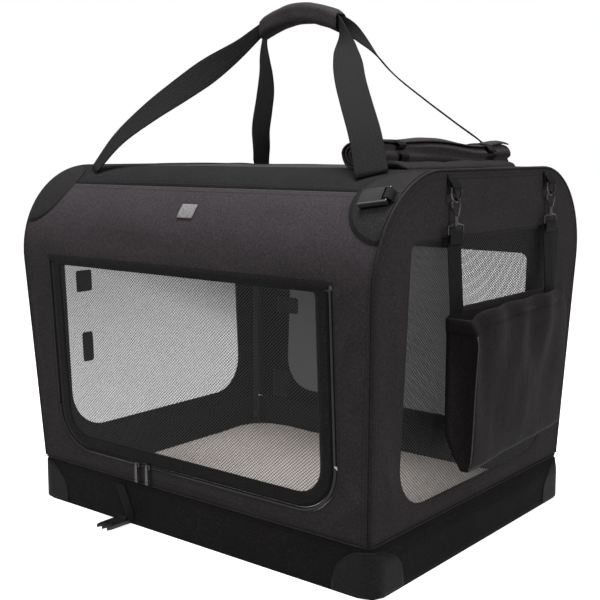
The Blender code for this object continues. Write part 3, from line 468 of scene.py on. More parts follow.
def webbing_mesh(path: Sequence[Vector], across: Vector | Sequence[Vector], width: float | Sequence[float],
                 thickness: float) -> bpy.types.Mesh:
    """Woven strap along a path, with rounded edges.

    Args:
        path: Points of its middle line.
        across: Direction of its width, or one for each point.
        width: Its width, or one for each point.
        thickness: Its thickness.

    Returns:
        The mesh, with the place across and along it in its UV map.
    """
    upper = ((-1.0, 0.0), (-0.985, 0.8), (-0.93, 1.0), (-0.4, 1.0), (0.4, 1.0), (0.93, 1.0), (0.985, 0.8))
    profile = [*upper, *((-x, -y) for x, y in upper)]
    lays = [across] * len(path) if isinstance(across, Vector) else across
    widths = [width] * len(path) if isinstance(width, float) else width
    rings, flat, run = [], [], 0.0
    last = len(path) - 1
    for index, point in enumerate(path):
        ahead = (path[min(index + 1, last)] - path[max(index - 1, 0)]).normalized()
        lean = Vector() if index in (0, last) else ahead * lays[index].dot(ahead)
        side = (lays[index] - lean).normalized()
        face = ahead.cross(side).normalized()
        run += (point - path[index - 1]).length if index else 0.0
        half = widths[index] / 2
        rings.append([point + side * half * x + face * thickness / 2 * y for x, y in profile])
        flat.extend((half * x, run) for x, _ in profile)
    return loft(rings, flat)


def smooth_path(points: Iterable[Sequence[float]], steps: int) -> list[Vector]:
    """Points of a smooth curve through the given ones.

    Args:
        points: The points that it passes.
        steps: Points from each to the next.

    Returns:
        The curve's points.
    """
    given = [Vector(point) for point in points]
    padded = [2 * given[0] - given[1], *given, 2 * given[-1] - given[-2]]
    path = []
    for index in range(1, len(padded) - 2):
        before, start, end, after = padded[index - 1:index + 3]
        for step in range(steps):
            t = step / steps
            path.append(0.5 * (2 * start + (end - before) * t
                               + (2 * before - 5 * start + 4 * end - after) * t**2
                               + (3 * start - before - 3 * end + after) * t**3))
    return [*path, given[-1]]


def evaluated_mesh(piece: bpy.types.Object) -> bpy.types.Mesh:
    """Mesh of an object with its modifiers carried out."""
    return bpy.data.meshes.new_from_object(piece.evaluated_get(bpy.context.evaluated_depsgraph_get()))


def link(name: str, data: bpy.types.ID) -> bpy.types.Object:
    """Object of some data, linked to the scene."""
    made = bpy.data.objects.new(name, data)
    bpy.context.scene.collection.objects.link(made)
    return made


# Node trees


@dataclass
class Graph:
    """A node tree with short ways to add and join nodes."""

    tree: bpy.types.NodeTree

    def feed(self, socket: bpy.types.NodeSocket, value: object) -> None:
        """Joins a socket or a node's first output to an input, or sets the input's own value."""
        if isinstance(value, bpy.types.NodeSocket):
            self.tree.links.new(value, socket)
        elif isinstance(value, bpy.types.Node):
            self.tree.links.new(value.outputs[0], socket)
        else:
            socket.default_value = value

    def fill(self, node: bpy.types.Node, **settings: object) -> bpy.types.Node:
        """Sets a node's properties and feeds its inputs.

        Args:
            node: The node.
            settings: Properties by name, and inputs by name, with a capital first and _ for a space.

        Returns:
            The node.
        """
        for key, value in settings.items():
            if key[0].islower():
                setattr(node, key, value)
                continue
            sockets = [socket for socket in node.inputs if socket.name == key.replace("_", " ")]
            self.feed(([socket for socket in sockets if socket.enabled] or sockets)[0], value)
        return node

    def add(self, kind: str, **settings: object) -> bpy.types.Node:
        """Adds a node, with settings as fill takes them."""
        return self.fill(self.tree.nodes.new(kind), **settings)

    def maths(self, operation: str, *values: object) -> bpy.types.NodeSocket:
        """Result of a Math node on values or sockets."""
        node = self.add("ShaderNodeMath", operation=operation)
        for socket, value in zip(node.inputs, values):
            self.feed(socket, value)
        return node.outputs[0]

    def clamp(self, value: object) -> bpy.types.NodeSocket:
        """A value held between 0 and 1."""
        return self.maths("MINIMUM", self.maths("MAXIMUM", value, 0.0), 1.0)

    def mix(self, share: object, first: object, second: object) -> bpy.types.NodeSocket:
        """Colour between two colours."""
        node = self.add("ShaderNodeMix", data_type="RGBA")
        self.feed(node.inputs["Factor"], share)
        for name, value in (("A", first), ("B", second)):
            self.feed([s for s in node.inputs if s.name == name and s.type == "RGBA"][0], value)
        return [s for s in node.outputs if s.type == "RGBA"][0]

    def tones(self, share: object, colour: Colour, low: float, high: float) -> bpy.types.NodeSocket:
        """Colour between a darker and a lighter tone of one colour."""
        return self.mix(share, rgba(colour, low), rgba(colour, high))

    def noise(self, place: object, scale: float, detail: float = 2.0, roughness: float = 0.5,
              distortion: float = 0.0) -> bpy.types.NodeSocket:
        """Value of a noise texture."""
        return self.add("ShaderNodeTexNoise", Vector=place, Scale=scale, Detail=detail, Roughness=roughness,
                        Distortion=distortion).outputs[0]

    def axes(self, place: object) -> bpy.types.NodeOutputs:
        """X, Y and Z of a place."""
        return self.add("ShaderNodeSeparateXYZ", Vector=place).outputs

    def flat(self) -> bpy.types.NodeSocket:
        """The piece's own flat coordinates, in metres."""
        return self.add("ShaderNodeUVMap", uv_map="flat").outputs[0]

    def spot(self) -> bpy.types.NodeSocket:
        """Object coordinates, in metres."""
        return self.add("ShaderNodeTexCoord").outputs["Object"]

    def stored(self, name: str) -> bpy.types.NodeSocket:
        """A value stored on a piece's points."""
        return self.add("ShaderNodeAttribute", attribute_name=name).outputs["Fac"]

    def bump(self, height: object, strength: float = 1.0) -> bpy.types.Node:
        """Normal of a height in metres."""
        return self.add("ShaderNodeBump", Height=height, Strength=strength, Distance=1.0)


def rgba(colour: Colour, factor: float = 1.0) -> tuple[float, float, float, float]:
    """A colour with alpha, made lighter or darker by a factor."""
    return (colour[0] * factor, colour[1] * factor, colour[2] * factor, 1.0)


def new_group(name: str, inputs: dict[str, float | None], outputs: Sequence[str]
              ) -> tuple[Graph, bpy.types.NodeOutputs, bpy.types.Node]:
    """Empty shader node group with named sockets.

    Args:
        name: The group's name.
        inputs: Default of each number, or None for a vector.
        outputs: Names of the numbers that it gives.

    Returns:
        Its graph, the sockets that it is given and its output node.
    """
    tree = bpy.data.node_groups.new(name, "ShaderNodeTree")
    for label, value in inputs.items():
        kind = "NodeSocketVector" if value is None else "NodeSocketFloat"
        socket = tree.interface.new_socket(label, in_out="INPUT", socket_type=kind)
        if value is not None:
            socket.default_value = value
    for label in outputs:
        tree.interface.new_socket(label, in_out="OUTPUT", socket_type="NodeSocketFloat")
    return Graph(tree), tree.nodes.new("NodeGroupInput").outputs, tree.nodes.new("NodeGroupOutput")


class Effects:
    """Shader node groups that several finishes share, each built once."""

    @cached_property
    def weave(self) -> bpy.types.NodeTree:
        """Plain weave: crossed threads as a height, and a slub variation as a value."""
        graph, given, result = new_group("Plain weave", {"Place": None, "Threads": 900.0}, ("Height", "Slub"))
        parts, maths = graph.axes(given["Place"]), graph.maths
        waves = []
        for axis in ("X", "Y"):
            turned = maths("MULTIPLY", parts[axis], given["Threads"])
            waves.append(maths("SINE", maths("MULTIPLY", turned, TURN)))
        slub = graph.noise(given["Place"], 260.0, 3.0, 0.6)
        broad = graph.noise(given["Place"], 9.0)
        graph.fill(result, Height=maths("ADD", maths("MULTIPLY", *waves), maths("MULTIPLY", slub, 0.8)),
                   Slub=maths("MULTIPLY_ADD", slub, 0.55, maths("MULTIPLY", broad, 0.45)))
        return graph.tree

    @cached_property
    def stitches(self) -> bpy.types.NodeTree:
        """Row of stitches at a distance from an edge: a thread mask and a groove height, which also serve as
        the masks of a painted highlight and painted shade.
        """
        groove_width, thread_width, dash_share = 0.0018, 0.0005, 0.72
        graph, given, result = new_group("Stitch row", {"Distance": 0.0, "Run": 0.0, "Inset": 0.004,
                                                        "Pitch": 0.0035}, ("Thread", "Groove"))
        maths = graph.maths
        away = maths("ABSOLUTE", maths("SUBTRACT", given["Distance"], given["Inset"]))
        phase = maths("FRACT", maths("DIVIDE", given["Run"], given["Pitch"]))
        dash = maths("LESS_THAN", phase, dash_share)
        graph.fill(result, Thread=maths("MULTIPLY", maths("LESS_THAN", away, thread_width), dash),
                   Groove=maths("SUBTRACT", 1.0, maths("MINIMUM", maths("DIVIDE", away, groove_width), 1.0)))
        return graph.tree

    @cached_property
    def lint(self) -> bpy.types.NodeTree:
        """Sparse pale lint and dust as a mask."""
        graph, given, result = new_group("Lint", {"Place": None, "Amount": 0.1}, ("Mask",))
        fine, broad = graph.noise(given["Place"], 420.0), graph.noise(given["Place"], 6.0, 3.0)
        speck = graph.add("ShaderNodeMapRange", Value=fine, From_Min=0.52, From_Max=0.74)
        mask = graph.maths("MULTIPLY", speck.outputs[0], broad)
        graph.fill(result, Mask=graph.maths("MULTIPLY", mask, given["Amount"]))
        return graph.tree


EFFECTS = Effects()


# Finishes


@dataclass(frozen=True)
class Finish:
    """A named finish. Each kind of finish has its own shader."""

    name: str
    colour: Colour

    def shade(self, graph: Graph, shader: bpy.types.Node) -> None:
        """Sets the Principled shader."""
        raise NotImplementedError

    def material(self) -> bpy.types.Material:
        """Builds the material."""
        material = bpy.data.materials.new(self.name)
        material.use_nodes = True
        self.shade(Graph(material.node_tree), material.node_tree.nodes["Principled BSDF"])
        return material


@dataclass(frozen=True)
class ClothFinish(Finish):
    """Coated woven cloth, with rows of stitches at its edges: painted shade in their grooves, and lighter
    thread that carries a painted highlight.
    """

    roughness: float = 0.80
    sheen: float = 0.02
    threads: float = 620.0
    lint: float = 0.10
    rows: tuple[tuple[str, float], ...] = ()
    wrinkle: float = 0.0022
    weave_height: float = 0.00010
    groove_depth: float = 0.0005
    lint_colour: Colour = (0.32, 0.30, 0.29)
    dark_share: float = 0.15
    light_share: float = 1.75
    grain_share: float = 0.9
    slub_share: float = 0.8

    def shade(self, graph: Graph, shader: bpy.types.Node) -> None:
        """Sets the Principled shader."""
        maths, spot = graph.maths, graph.spot()
        weave = graph.add("ShaderNodeGroup", node_tree=EFFECTS.weave, Place=graph.flat(),
                          Threads=self.threads).outputs
        lint = graph.add("ShaderNodeGroup", node_tree=EFFECTS.lint, Place=spot, Amount=self.lint)
        share = maths("MULTIPLY_ADD", graph.noise(spot, 330.0, 1.0), self.grain_share,
                      maths("MULTIPLY_ADD", weave["Slub"], self.slub_share, -0.15))
        colour = graph.tones(share, self.colour, self.dark_share, self.light_share)
        colour = graph.mix(lint, colour, rgba(self.lint_colour))
        crumple = graph.noise(spot, 22.0, 4.0, 0.55, 0.6)
        height = maths("ADD", maths("MULTIPLY", weave["Height"], self.weave_height),
                       maths("MULTIPLY", crumple, self.wrinkle))
        for edge, inset_by in self.rows:
            row = graph.add("ShaderNodeGroup", node_tree=EFFECTS.stitches, Distance=graph.stored(edge),
                            Run=graph.stored("run"), Inset=inset_by).outputs
            # Painted shade: the stitch groove is darkened towards a fifth of the cloth's colour.
            colour = graph.mix(maths("MULTIPLY", row["Groove"], 0.80), colour, rgba(self.colour, 0.20))
            # The thread is painted lighter: partly the thread's own paler tone, partly a painted highlight.
            colour = graph.mix(maths("MULTIPLY", row["Thread"], 0.70), colour, rgba(self.colour, 2.3))
            height = maths("SUBTRACT", height, maths("MULTIPLY", row["Groove"], self.groove_depth))
        graph.fill(shader, Base_Color=colour, Normal=graph.bump(height, 0.9), Roughness=self.roughness,
                   Sheen_Weight=self.sheen, Sheen_Roughness=0.45, Specular_IOR_Level=0.09)


@dataclass(frozen=True)
class MeshFinish(Finish):
    """Open knitted mesh with lozenge holes, which lets daylight through to what lies behind.

    The veil is how closed the holes look. It clears past an x (x and clear veil) or thickens above a line
    into a painted shadow (height, slope along y and extra veil).
    """

    pitch: float = 0.0060
    rise: float = 0.0052
    strand: float = 0.235
    cover: float = 1.0
    veil: float = 0.0
    clear_side: Flat | None = None
    painted_shade_line: tuple[float, float, float] | None = None
    seam_width: float = 0.0035

    def veil_share(self, graph: Graph) -> object:
        """How closed the holes look at a point."""
        maths, spot = graph.maths, graph.axes(graph.spot())
        if self.clear_side is not None:
            start, clear = self.clear_side
            step = graph.clamp(maths("MULTIPLY", maths("SUBTRACT", spot["X"], start), 60.0))
            return maths("MULTIPLY_ADD", step, clear - self.veil, self.veil)
        # Painted shade: above a slanted line the holes close into a darker band.
        if self.painted_shade_line is not None:
            height, slope, depth = self.painted_shade_line
            edge = maths("MULTIPLY_ADD", spot["Y"], slope, spot["Z"])
            step = graph.clamp(maths("MULTIPLY", maths("SUBTRACT", edge, height), 6.0))
            return maths("MULTIPLY_ADD", step, depth, self.veil)
        return self.veil

    def shade(self, graph: Graph, shader: bpy.types.Node) -> None:
        """Sets the Principled shader."""
        maths, place = graph.maths, graph.flat()
        parts = graph.axes(place)
        across, along = maths("DIVIDE", parts["X"], self.pitch), maths("DIVIDE", parts["Y"], self.rise)
        strands = []
        for operation in ("ADD", "SUBTRACT"):
            turned = maths("FRACT", maths(operation, across, along))
            away = maths("ABSOLUTE", maths("SUBTRACT", turned, 0.5))
            strands.append(maths("LESS_THAN", away, self.strand / 2))
        pattern = maths("MULTIPLY", maths("MAXIMUM", *strands), self.cover)
        alpha = maths("MAXIMUM", pattern, self.veil_share(graph))
        alpha = maths("MAXIMUM", alpha, maths("LESS_THAN", graph.stored("seam"), self.seam_width))
        rays = graph.add("ShaderNodeLightPath").outputs
        bounce = maths("MAXIMUM", rays["Is Shadow Ray"], rays["Is Diffuse Ray"])
        alpha = maths("MULTIPLY", alpha, maths("MULTIPLY_ADD", bounce, -0.95, 1.0))
        colour = graph.tones(graph.noise(place, 700.0), self.colour, 0.7, 1.4)
        graph.fill(shader, Base_Color=colour, Alpha=alpha, Roughness=0.6)


@dataclass(frozen=True)
class WebbingFinish(Finish):
    """Ribbed webbing: cross ribs and a few lengthwise cords."""

    rib: float = 0.0022
    cord: float = 0.0065
    relief: float = 0.00022

    def shade(self, graph: Graph, shader: bpy.types.Node) -> None:
        """Sets the Principled shader."""
        maths, place = graph.maths, graph.flat()
        parts = graph.axes(place)
        ribs = maths("SINE", maths("MULTIPLY", parts["Y"], TURN / self.rib))
        cords = maths("SINE", maths("MULTIPLY", parts["X"], TURN / self.cord))
        fuzz = graph.noise(place, 500.0, 3.0)
        pattern = maths("MULTIPLY_ADD", cords, 0.35, ribs)
        colour = graph.tones(maths("MULTIPLY_ADD", pattern, 0.28, fuzz), self.colour, 0.55, 1.4)
        height = maths("MULTIPLY", maths("ADD", pattern, fuzz), self.relief)
        graph.fill(shader, Base_Color=colour, Normal=graph.bump(height), Roughness=0.75,
                   Specular_IOR_Level=0.14, Sheen_Weight=0.02)


@dataclass(frozen=True)
class FleeceFinish(Finish):
    """Short pale fleece with a soft nap."""

    pile: float = 0.004

    def shade(self, graph: Graph, shader: bpy.types.Node) -> None:
        """Sets the Principled shader."""
        spot = graph.spot()
        nap = graph.noise(spot, 170.0, 5.0, 0.7)
        tuft = graph.add("ShaderNodeTexVoronoi", Vector=spot, Scale=110.0).outputs[0]
        share = graph.maths("MULTIPLY_ADD", tuft, 0.5, graph.maths("MULTIPLY", nap, 0.6))
        graph.fill(shader, Base_Color=graph.tones(share, self.colour, 0.78, 1.15), Roughness=0.95,
                   Sheen_Weight=0.2, Normal=graph.bump(graph.maths("MULTIPLY", share, self.pile), 0.7))


@dataclass(frozen=True)
class HardFinish(Finish):
    """Moulded plastic, painted steel, board or black plated metal."""

    roughness: float = 0.4
    metallic: float = 0.0
    coat: float = 0.0
    grain: float = 0.00004

    def shade(self, graph: Graph, shader: bpy.types.Node) -> None:
        """Sets the Principled shader."""
        spot = graph.spot()
        smear = graph.noise(spot, 35.0, 3.0)
        height = graph.maths("MULTIPLY", graph.noise(spot, 900.0, 3.0), self.grain)
        graph.fill(shader, Base_Color=graph.tones(smear, self.colour, 0.8, 1.25), Normal=graph.bump(height),
                   Roughness=graph.maths("MULTIPLY_ADD", smear, 0.22, self.roughness - 0.1),
                   Metallic=self.metallic, Coat_Weight=self.coat)


@dataclass(frozen=True)
class FloorFinish(Finish):
    """Pale floor that keeps the object's shadow and looks white to the camera."""

    bounce: Colour = (0.20, 0.20, 0.20)
    glow: float = 0.86

    def shade(self, graph: Graph, shader: bpy.types.Node) -> None:
        """Sets the Principled shader."""
        rays = graph.add("ShaderNodeLightPath").outputs
        seen = graph.maths("MAXIMUM", rays["Is Camera Ray"], rays["Is Transmission Ray"])
        seen = graph.maths("MAXIMUM", seen, rays["Is Glossy Ray"])
        graph.fill(shader, Base_Color=graph.mix(rays["Is Camera Ray"], rgba(self.bounce), rgba(self.colour)),
                   Emission_Color=(1, 1, 1, 1), Emission_Strength=graph.maths("MULTIPLY", seen, self.glow),
                   Roughness=0.9, Specular_IOR_Level=0.1)


WALL_ROWS = (("seam", 0.0045), ("seam", 0.0105), ("hem", 0.0040))


class Paint(Enum):
    """Every finish of the scene."""

    UPPER = ClothFinish("Charcoal cloth", (0.036, 0.031, 0.0345), rows=WALL_ROWS)
    ROOF = ClothFinish("Top cloth", (0.0098, 0.0100, 0.0107), rows=WALL_ROWS)
    # The walls' inner faces carry the lining's own black, darkened further as painted shade for the crate's
    # inside.
    SHADED_LINING = ClothFinish("Shaded black lining", (0.0045, 0.0041, 0.0042), sheen=0.0)
    DARK = ClothFinish("Dark cloth", (0.0088, 0.0077, 0.0081), rows=(("seam", 0.0045), ("seam", 0.0095)))
    BORDER = ClothFinish("Black binding", (0.011, 0.0105, 0.011), sheen=0.1,
                         rows=(("seam", 0.0035), ("hem", 0.0035)))
    PATCH = ClothFinish("Patch cloth", (0.014, 0.013, 0.0135), roughness=0.55, threads=450.0,
                        rows=(("seam", 0.0040),), wrinkle=0.0006)
    PLAIN = ClothFinish("Plain charcoal cloth", (0.039, 0.034, 0.037))
    POUCH = ClothFinish("Pouch cloth", (0.0165, 0.0142, 0.0155), roughness=0.7, rows=(("seam", 0.0045),),
                        wrinkle=0.0036)
    PIPING = ClothFinish("Piping cloth", (0.024, 0.022, 0.024), wrinkle=0.0003)
    SEAM = ClothFinish("Seam cloth", (0.085, 0.078, 0.080), wrinkle=0.0003)
    LABEL = ClothFinish("Woven label", (0.20, 0.20, 0.20), threads=1200.0, lint=0.0, wrinkle=0.0)
    MESH = MeshFinish("Knitted mesh", (0.019, 0.019, 0.020))
    REAR_MESH = MeshFinish("Fine mesh", (0.040, 0.040, 0.041), veil=0.93, clear_side=(0.130, 0.35))
    # The left window's mesh carries a painted shadow across its upper rear corner.
    LEFT_MESH = MeshFinish("Finest mesh", (0.10, 0.10, 0.12), cover=0.12, veil=0.62,
                           painted_shade_line=(0.340, 0.45, 0.34))
    WEBBING = WebbingFinish("Ribbed webbing", (0.0125, 0.0111, 0.0117))
    FLEECE = FleeceFinish("Pale fleece", (0.68, 0.612, 0.57))
    PLASTIC = HardFinish("Black moulded plastic", (0.012, 0.012, 0.0125), 0.38, coat=0.15)
    BOARD = HardFinish("Grey board", (0.10, 0.10, 0.10), 0.8)
    STEEL = HardFinish("Black painted tube", (0.020, 0.020, 0.021), 0.42, coat=0.3)
    NICKEL = HardFinish("Black plated metal", (0.10, 0.10, 0.105), 0.30, metallic=0.9)
    FLOOR = FloorFinish("Pale floor", (0.86, 0.86, 0.86))

    @cached_property
    def material(self) -> bpy.types.Material:
        """The finish's material, built once."""
        return self.value.material()


# Pieces


def put(name: str, mesh: bpy.types.Mesh, paint: Paint, body: str, slot: Slot, nodes: Sequence[str] = (),
        fold_at: float | None = None, thickness: float = 0.0, lining: Paint | None = None
        ) -> bpy.types.Object:
    """Makes a piece of a finished mesh and puts it on its body.

    Args:
        name: The piece's name.
        mesh: Its mesh.
        paint: Its finish.
        body: The body that it rides on.
        slot: The record's material slot; not used.
        nodes: The nodes that it stands for.
        fold_at: A height, or None; with a height, the piece gets its own copy of its mesh.
        thickness: Thickness that an open sheet gets inwards, or 0.
        lining: Finish of a sheet's inner face, or None for the same one.

    Returns:
        The piece.
    """
    mesh.name = name
    mesh.materials.clear()
    mesh.materials.append(paint.material)
    piece = link(name, mesh)
    if thickness:
        modifier = piece.modifiers.new("thickness", "SOLIDIFY")
        modifier.thickness = thickness
        modifier.offset = -1
        if lining:
            mesh.materials.append(lining.material)
            modifier.material_offset = 1
    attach(piece, body)
    if nodes:
        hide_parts(*nodes)
    if fold_at is not None:
        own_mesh(piece)
    log.info("%s rides on %s", piece.name, body)
    return piece


@dataclass(frozen=True)
class Cut:
    """Flat cut of cloth between two outlines with as many points each, sampled in rings.

    A filled cut has its inner outline closed with a face. The lift is how far the whole cut stands out.
    """

    outer: np.ndarray
    inner: np.ndarray
    rings: int
    folds: Folds = Folds()
    filled: bool = False
    lift: float = 0.0

    @property
    def area(self) -> float:
        """Area of the cut."""
        return outline_area(self.outer) - (0.0 if self.filled else outline_area(self.inner))


@dataclass(frozen=True)
class Surface:
    """A side of the crate: where flat points go, which way it looks and what its cloth rides on."""

    place: Place
    outward: tuple[float, float, float]
    body: str = "base"
    fold_at: float | None = FOLD_ANCHOR

    def mesh(self, cut: Cut) -> bpy.types.Mesh:
        """Lays a cut on the surface.

        Args:
            cut: The flat cut.

        Returns:
            The mesh, with the values seam, hem and run for its stitching.
        """
        points, flat, seam, hem, run = [], [], [], [], []
        along = runs(cut.outer)
        count = len(cut.outer)
        for ring in range(cut.rings):
            share = ring / (cut.rings - 1)
            edge = math.sin(math.pi * (share / 2 if cut.filled else min(share, 1 - share)))
            for index, (start, end) in enumerate(zip(cut.outer, cut.inner)):
                u, v = start + (end - start) * share
                points.append(self.place(u, v, cut.lift + cut.folds.lift(u, v) * min(1.0, edge * 2.5)))
                flat.append((u, v))
                reach = float(np.linalg.norm(end - start))
                seam.append(reach * share)
                hem.append(1.0 if cut.filled else reach * (1 - share))
                run.append(along[index])
        faces = grid_faces(cut.rings, count)
        if cut.filled:
            faces.append([(cut.rings - 1) * count + index for index in range(count)])
        mesh = make_mesh(points, faces, flat, seam=seam, hem=hem, run=run)
        face_out(mesh, self.outward)
        return mesh

    def sew(self, name: str, cut: Cut, paint: Paint, slot: Slot, nodes: Sequence[str] = (),
            thickness: float = PLY, lining: Paint | None = None, sheet: Flat | None = None,
            rests_on: Sequence[str] = ()) -> None:
        """Sews a cut to the surface.

        Args:
            name: The piece's name.
            cut: Its flat cut.
            paint: Its finish.
            slot: The record's material slot.
            nodes: The nodes that it stands for.
            thickness: Its thickness, or 0 for open mesh.
            lining: Finish of its inner face, or None for the same one.
            rests_on: What a sheet is stretched over; not used.
        """
        piece = put(name, self.mesh(cut), paint, self.body, slot, nodes, self.fold_at, thickness,
                    lining)
        if sheet:
            min(cut.area, sheet[0] * sheet[1])


def long_side(side: Side, body: str = "base", fold_at: float = FOLD_ANCHOR) -> Surface:
    """Outer face of a long wall."""
    return Surface(partial(SHELL.on_long, side), (0, side.value, 0.3), body, fold_at)


def wall_folds(seed: float, creases: tuple[Crease, ...]) -> Folds:
    """Folds of a wall: its ripples and its own creases."""
    return Folds(0.0013, 6.0, seed, creases)


def mesh_cut(outer: np.ndarray, inner: np.ndarray, seed: float, rings: int = 14) -> Cut:
    """Cut of an open mesh, sewn just behind its wall."""
    return Cut(outer, inner, rings, Folds(0.0012, 5.0, seed), filled=True, lift=-0.0006)


def span(outline: np.ndarray) -> Flat:
    """Width and length of an outline."""
    return tuple(np.ptp(outline, axis=0).tolist())


# The crate's parts


@dataclass
class DoorOpening:
    """Outlines of the front door, its zip and its mesh, in the front wall's flat cut."""

    half: float = 0.317
    low: float = 0.108
    top: float = 0.4585
    hinge: float = 0.4505
    corner: float = 0.078
    top_corner: float = 0.004
    zip_width: float = 0.0068
    zip_gap: float = 0.0006
    border: float = 0.024
    per_side: int = 60

    def outline(self, shrink: float, drop: float = 0.0) -> np.ndarray:
        """Outline of the opening, drawn in.

        Args:
            shrink: How far in at the sides and the foot.
            drop: How far down at the top.

        Returns:
            Its flat points.
        """
        half, corner = self.half - shrink, self.corner - shrink
        low, top = SHELL.distance(self.low + shrink), SHELL.distance(self.top - drop)
        return rounded(-half, half, low, top, corner, self.top_corner, self.per_side)


@dataclass
class LongWalls:
    """Front and rear walls with the front door and the rear window."""

    door: DoorOpening = field(default_factory=DoorOpening)
    sheet: Flat = (0.78, 0.53)
    mesh_hem: float = 0.006
    border_drop: float = 0.0035
    mesh_drop: float = -0.001
    strip_corner: float = 0.0006
    rear_half: float = 0.290
    rear_low: float = 0.112
    rear_top: float = 0.452
    rear_corner: float = 0.070
    rear_top_corner: float = 0.012
    creases: tuple[Crease, ...] = (
        Crease((0.352, 0.42), (0.330, 0.34), 0.010, 0.0030),
        Crease((0.345, 0.36), (0.362, 0.27), 0.009, 0.0028),
        Crease((0.335, 0.29), (0.358, 0.20), 0.010, 0.0026),
        Crease((0.330, 0.17), (0.372, 0.12), 0.012, 0.0036),
        Crease((0.300, 0.098), (0.368, 0.155), 0.010, 0.0030),
        Crease((-0.362, 0.42), (-0.352, 0.25), 0.011, 0.0030),
        Crease((-0.350, 0.24), (-0.366, 0.12), 0.010, 0.0026),
        Crease((-0.20, 0.094), (0.16, 0.098), 0.010, 0.0016),
        Crease((-0.30, 0.50), (0.10, 0.488), 0.020, -0.0016),
        Crease((0.05, 0.56), (0.33, 0.545), 0.022, -0.0014))
    rear_creases: tuple[Crease, ...] = (
        Crease((-0.34, 0.40), (-0.31, 0.16), 0.012, 0.003), Crease((0.33, 0.44), (0.35, 0.2), 0.012, 0.003))

    def build_wall(self, name: str, side: Side, opening: np.ndarray, folds: Folds) -> None:
        """Builds one long wall round an opening.

        Args:
            name: The piece's name, and its node's.
            side: Front or rear.
            opening: Flat outline of the opening.
            folds: The wall's folds.
        """
        foot = SHELL.distance(SHELL.wall_foot)
        square = rounded(-1.0, 1.0, foot, SHELL.seam, SHARP, SHARP, self.door.per_side)
        cut = Cut(SHELL.to_end_seams(square, square[:, 1]), opening, 22, folds)
        long_side(side).sew(name, cut, Paint.UPPER, Slot.SHELL, [name], lining=Paint.SHADED_LINING, sheet=self.sheet,
                            rests_on=["base_frame"])

    def build_door(self) -> None:
        """Builds the door's border and mesh, and the strip that it hangs from."""
        door = self.door
        edge, drop = door.zip_width + door.zip_gap, door.top - door.hinge
        hung = long_side(Side.LOW, "front_door", door.hinge)
        outer = door.outline(edge, drop)
        inner = door.outline(edge + door.border, drop + self.border_drop)
        cut = Cut(outer, inner, 5, Folds(0.0008, 9, 1.0))
        way_round = float(runs(np.vstack((outer, outer[:1])))[-1])
        hung.sew("door_border", cut, Paint.BORDER, Slot.DARK, ["front_door_border"],
                 sheet=(door.border, way_round))
        opening = door.outline(edge + door.border - self.mesh_hem, drop + self.mesh_drop)
        hung.sew("door_mesh", mesh_cut(opening, inset(opening, 0.02), 8.0), Paint.MESH, Slot.MESH,
                 ["front_door_mesh"], 0.0, sheet=span(opening))
        half = door.half - edge
        low, top = SHELL.distance(door.hinge + GAP), SHELL.distance(door.top - GAP)
        outer = rounded(-half, half, low, top, self.strip_corner, self.strip_corner, 30)
        long_side(Side.LOW, "door_top", door.hinge).sew(
            "door_strip", Cut(outer, inset(outer, (0.98, 0.1)), 4, filled=True), Paint.BORDER, Slot.SHELL,
            ["door_hinge_strip"])

    def build(self) -> None:
        """Builds both long walls."""
        self.build_wall("front_panel", Side.LOW, self.door.outline(0), wall_folds(3.1, self.creases))
        self.build_door()
        window = rounded(-self.rear_half, self.rear_half, SHELL.distance(self.rear_low),
                         SHELL.distance(self.rear_top), self.rear_corner, self.rear_top_corner,
                         self.door.per_side)
        self.build_wall("rear_panel", Side.HIGH, window, wall_folds(9.4, self.rear_creases))
        opening = inset(window, MESH_GROWTH)
        long_side(Side.HIGH).sew("rear_mesh", mesh_cut(opening, inset(opening, 0.02), 8.0), Paint.REAR_MESH,
                                 Slot.MESH, ["rear_window"], 0.0, sheet=span(opening))


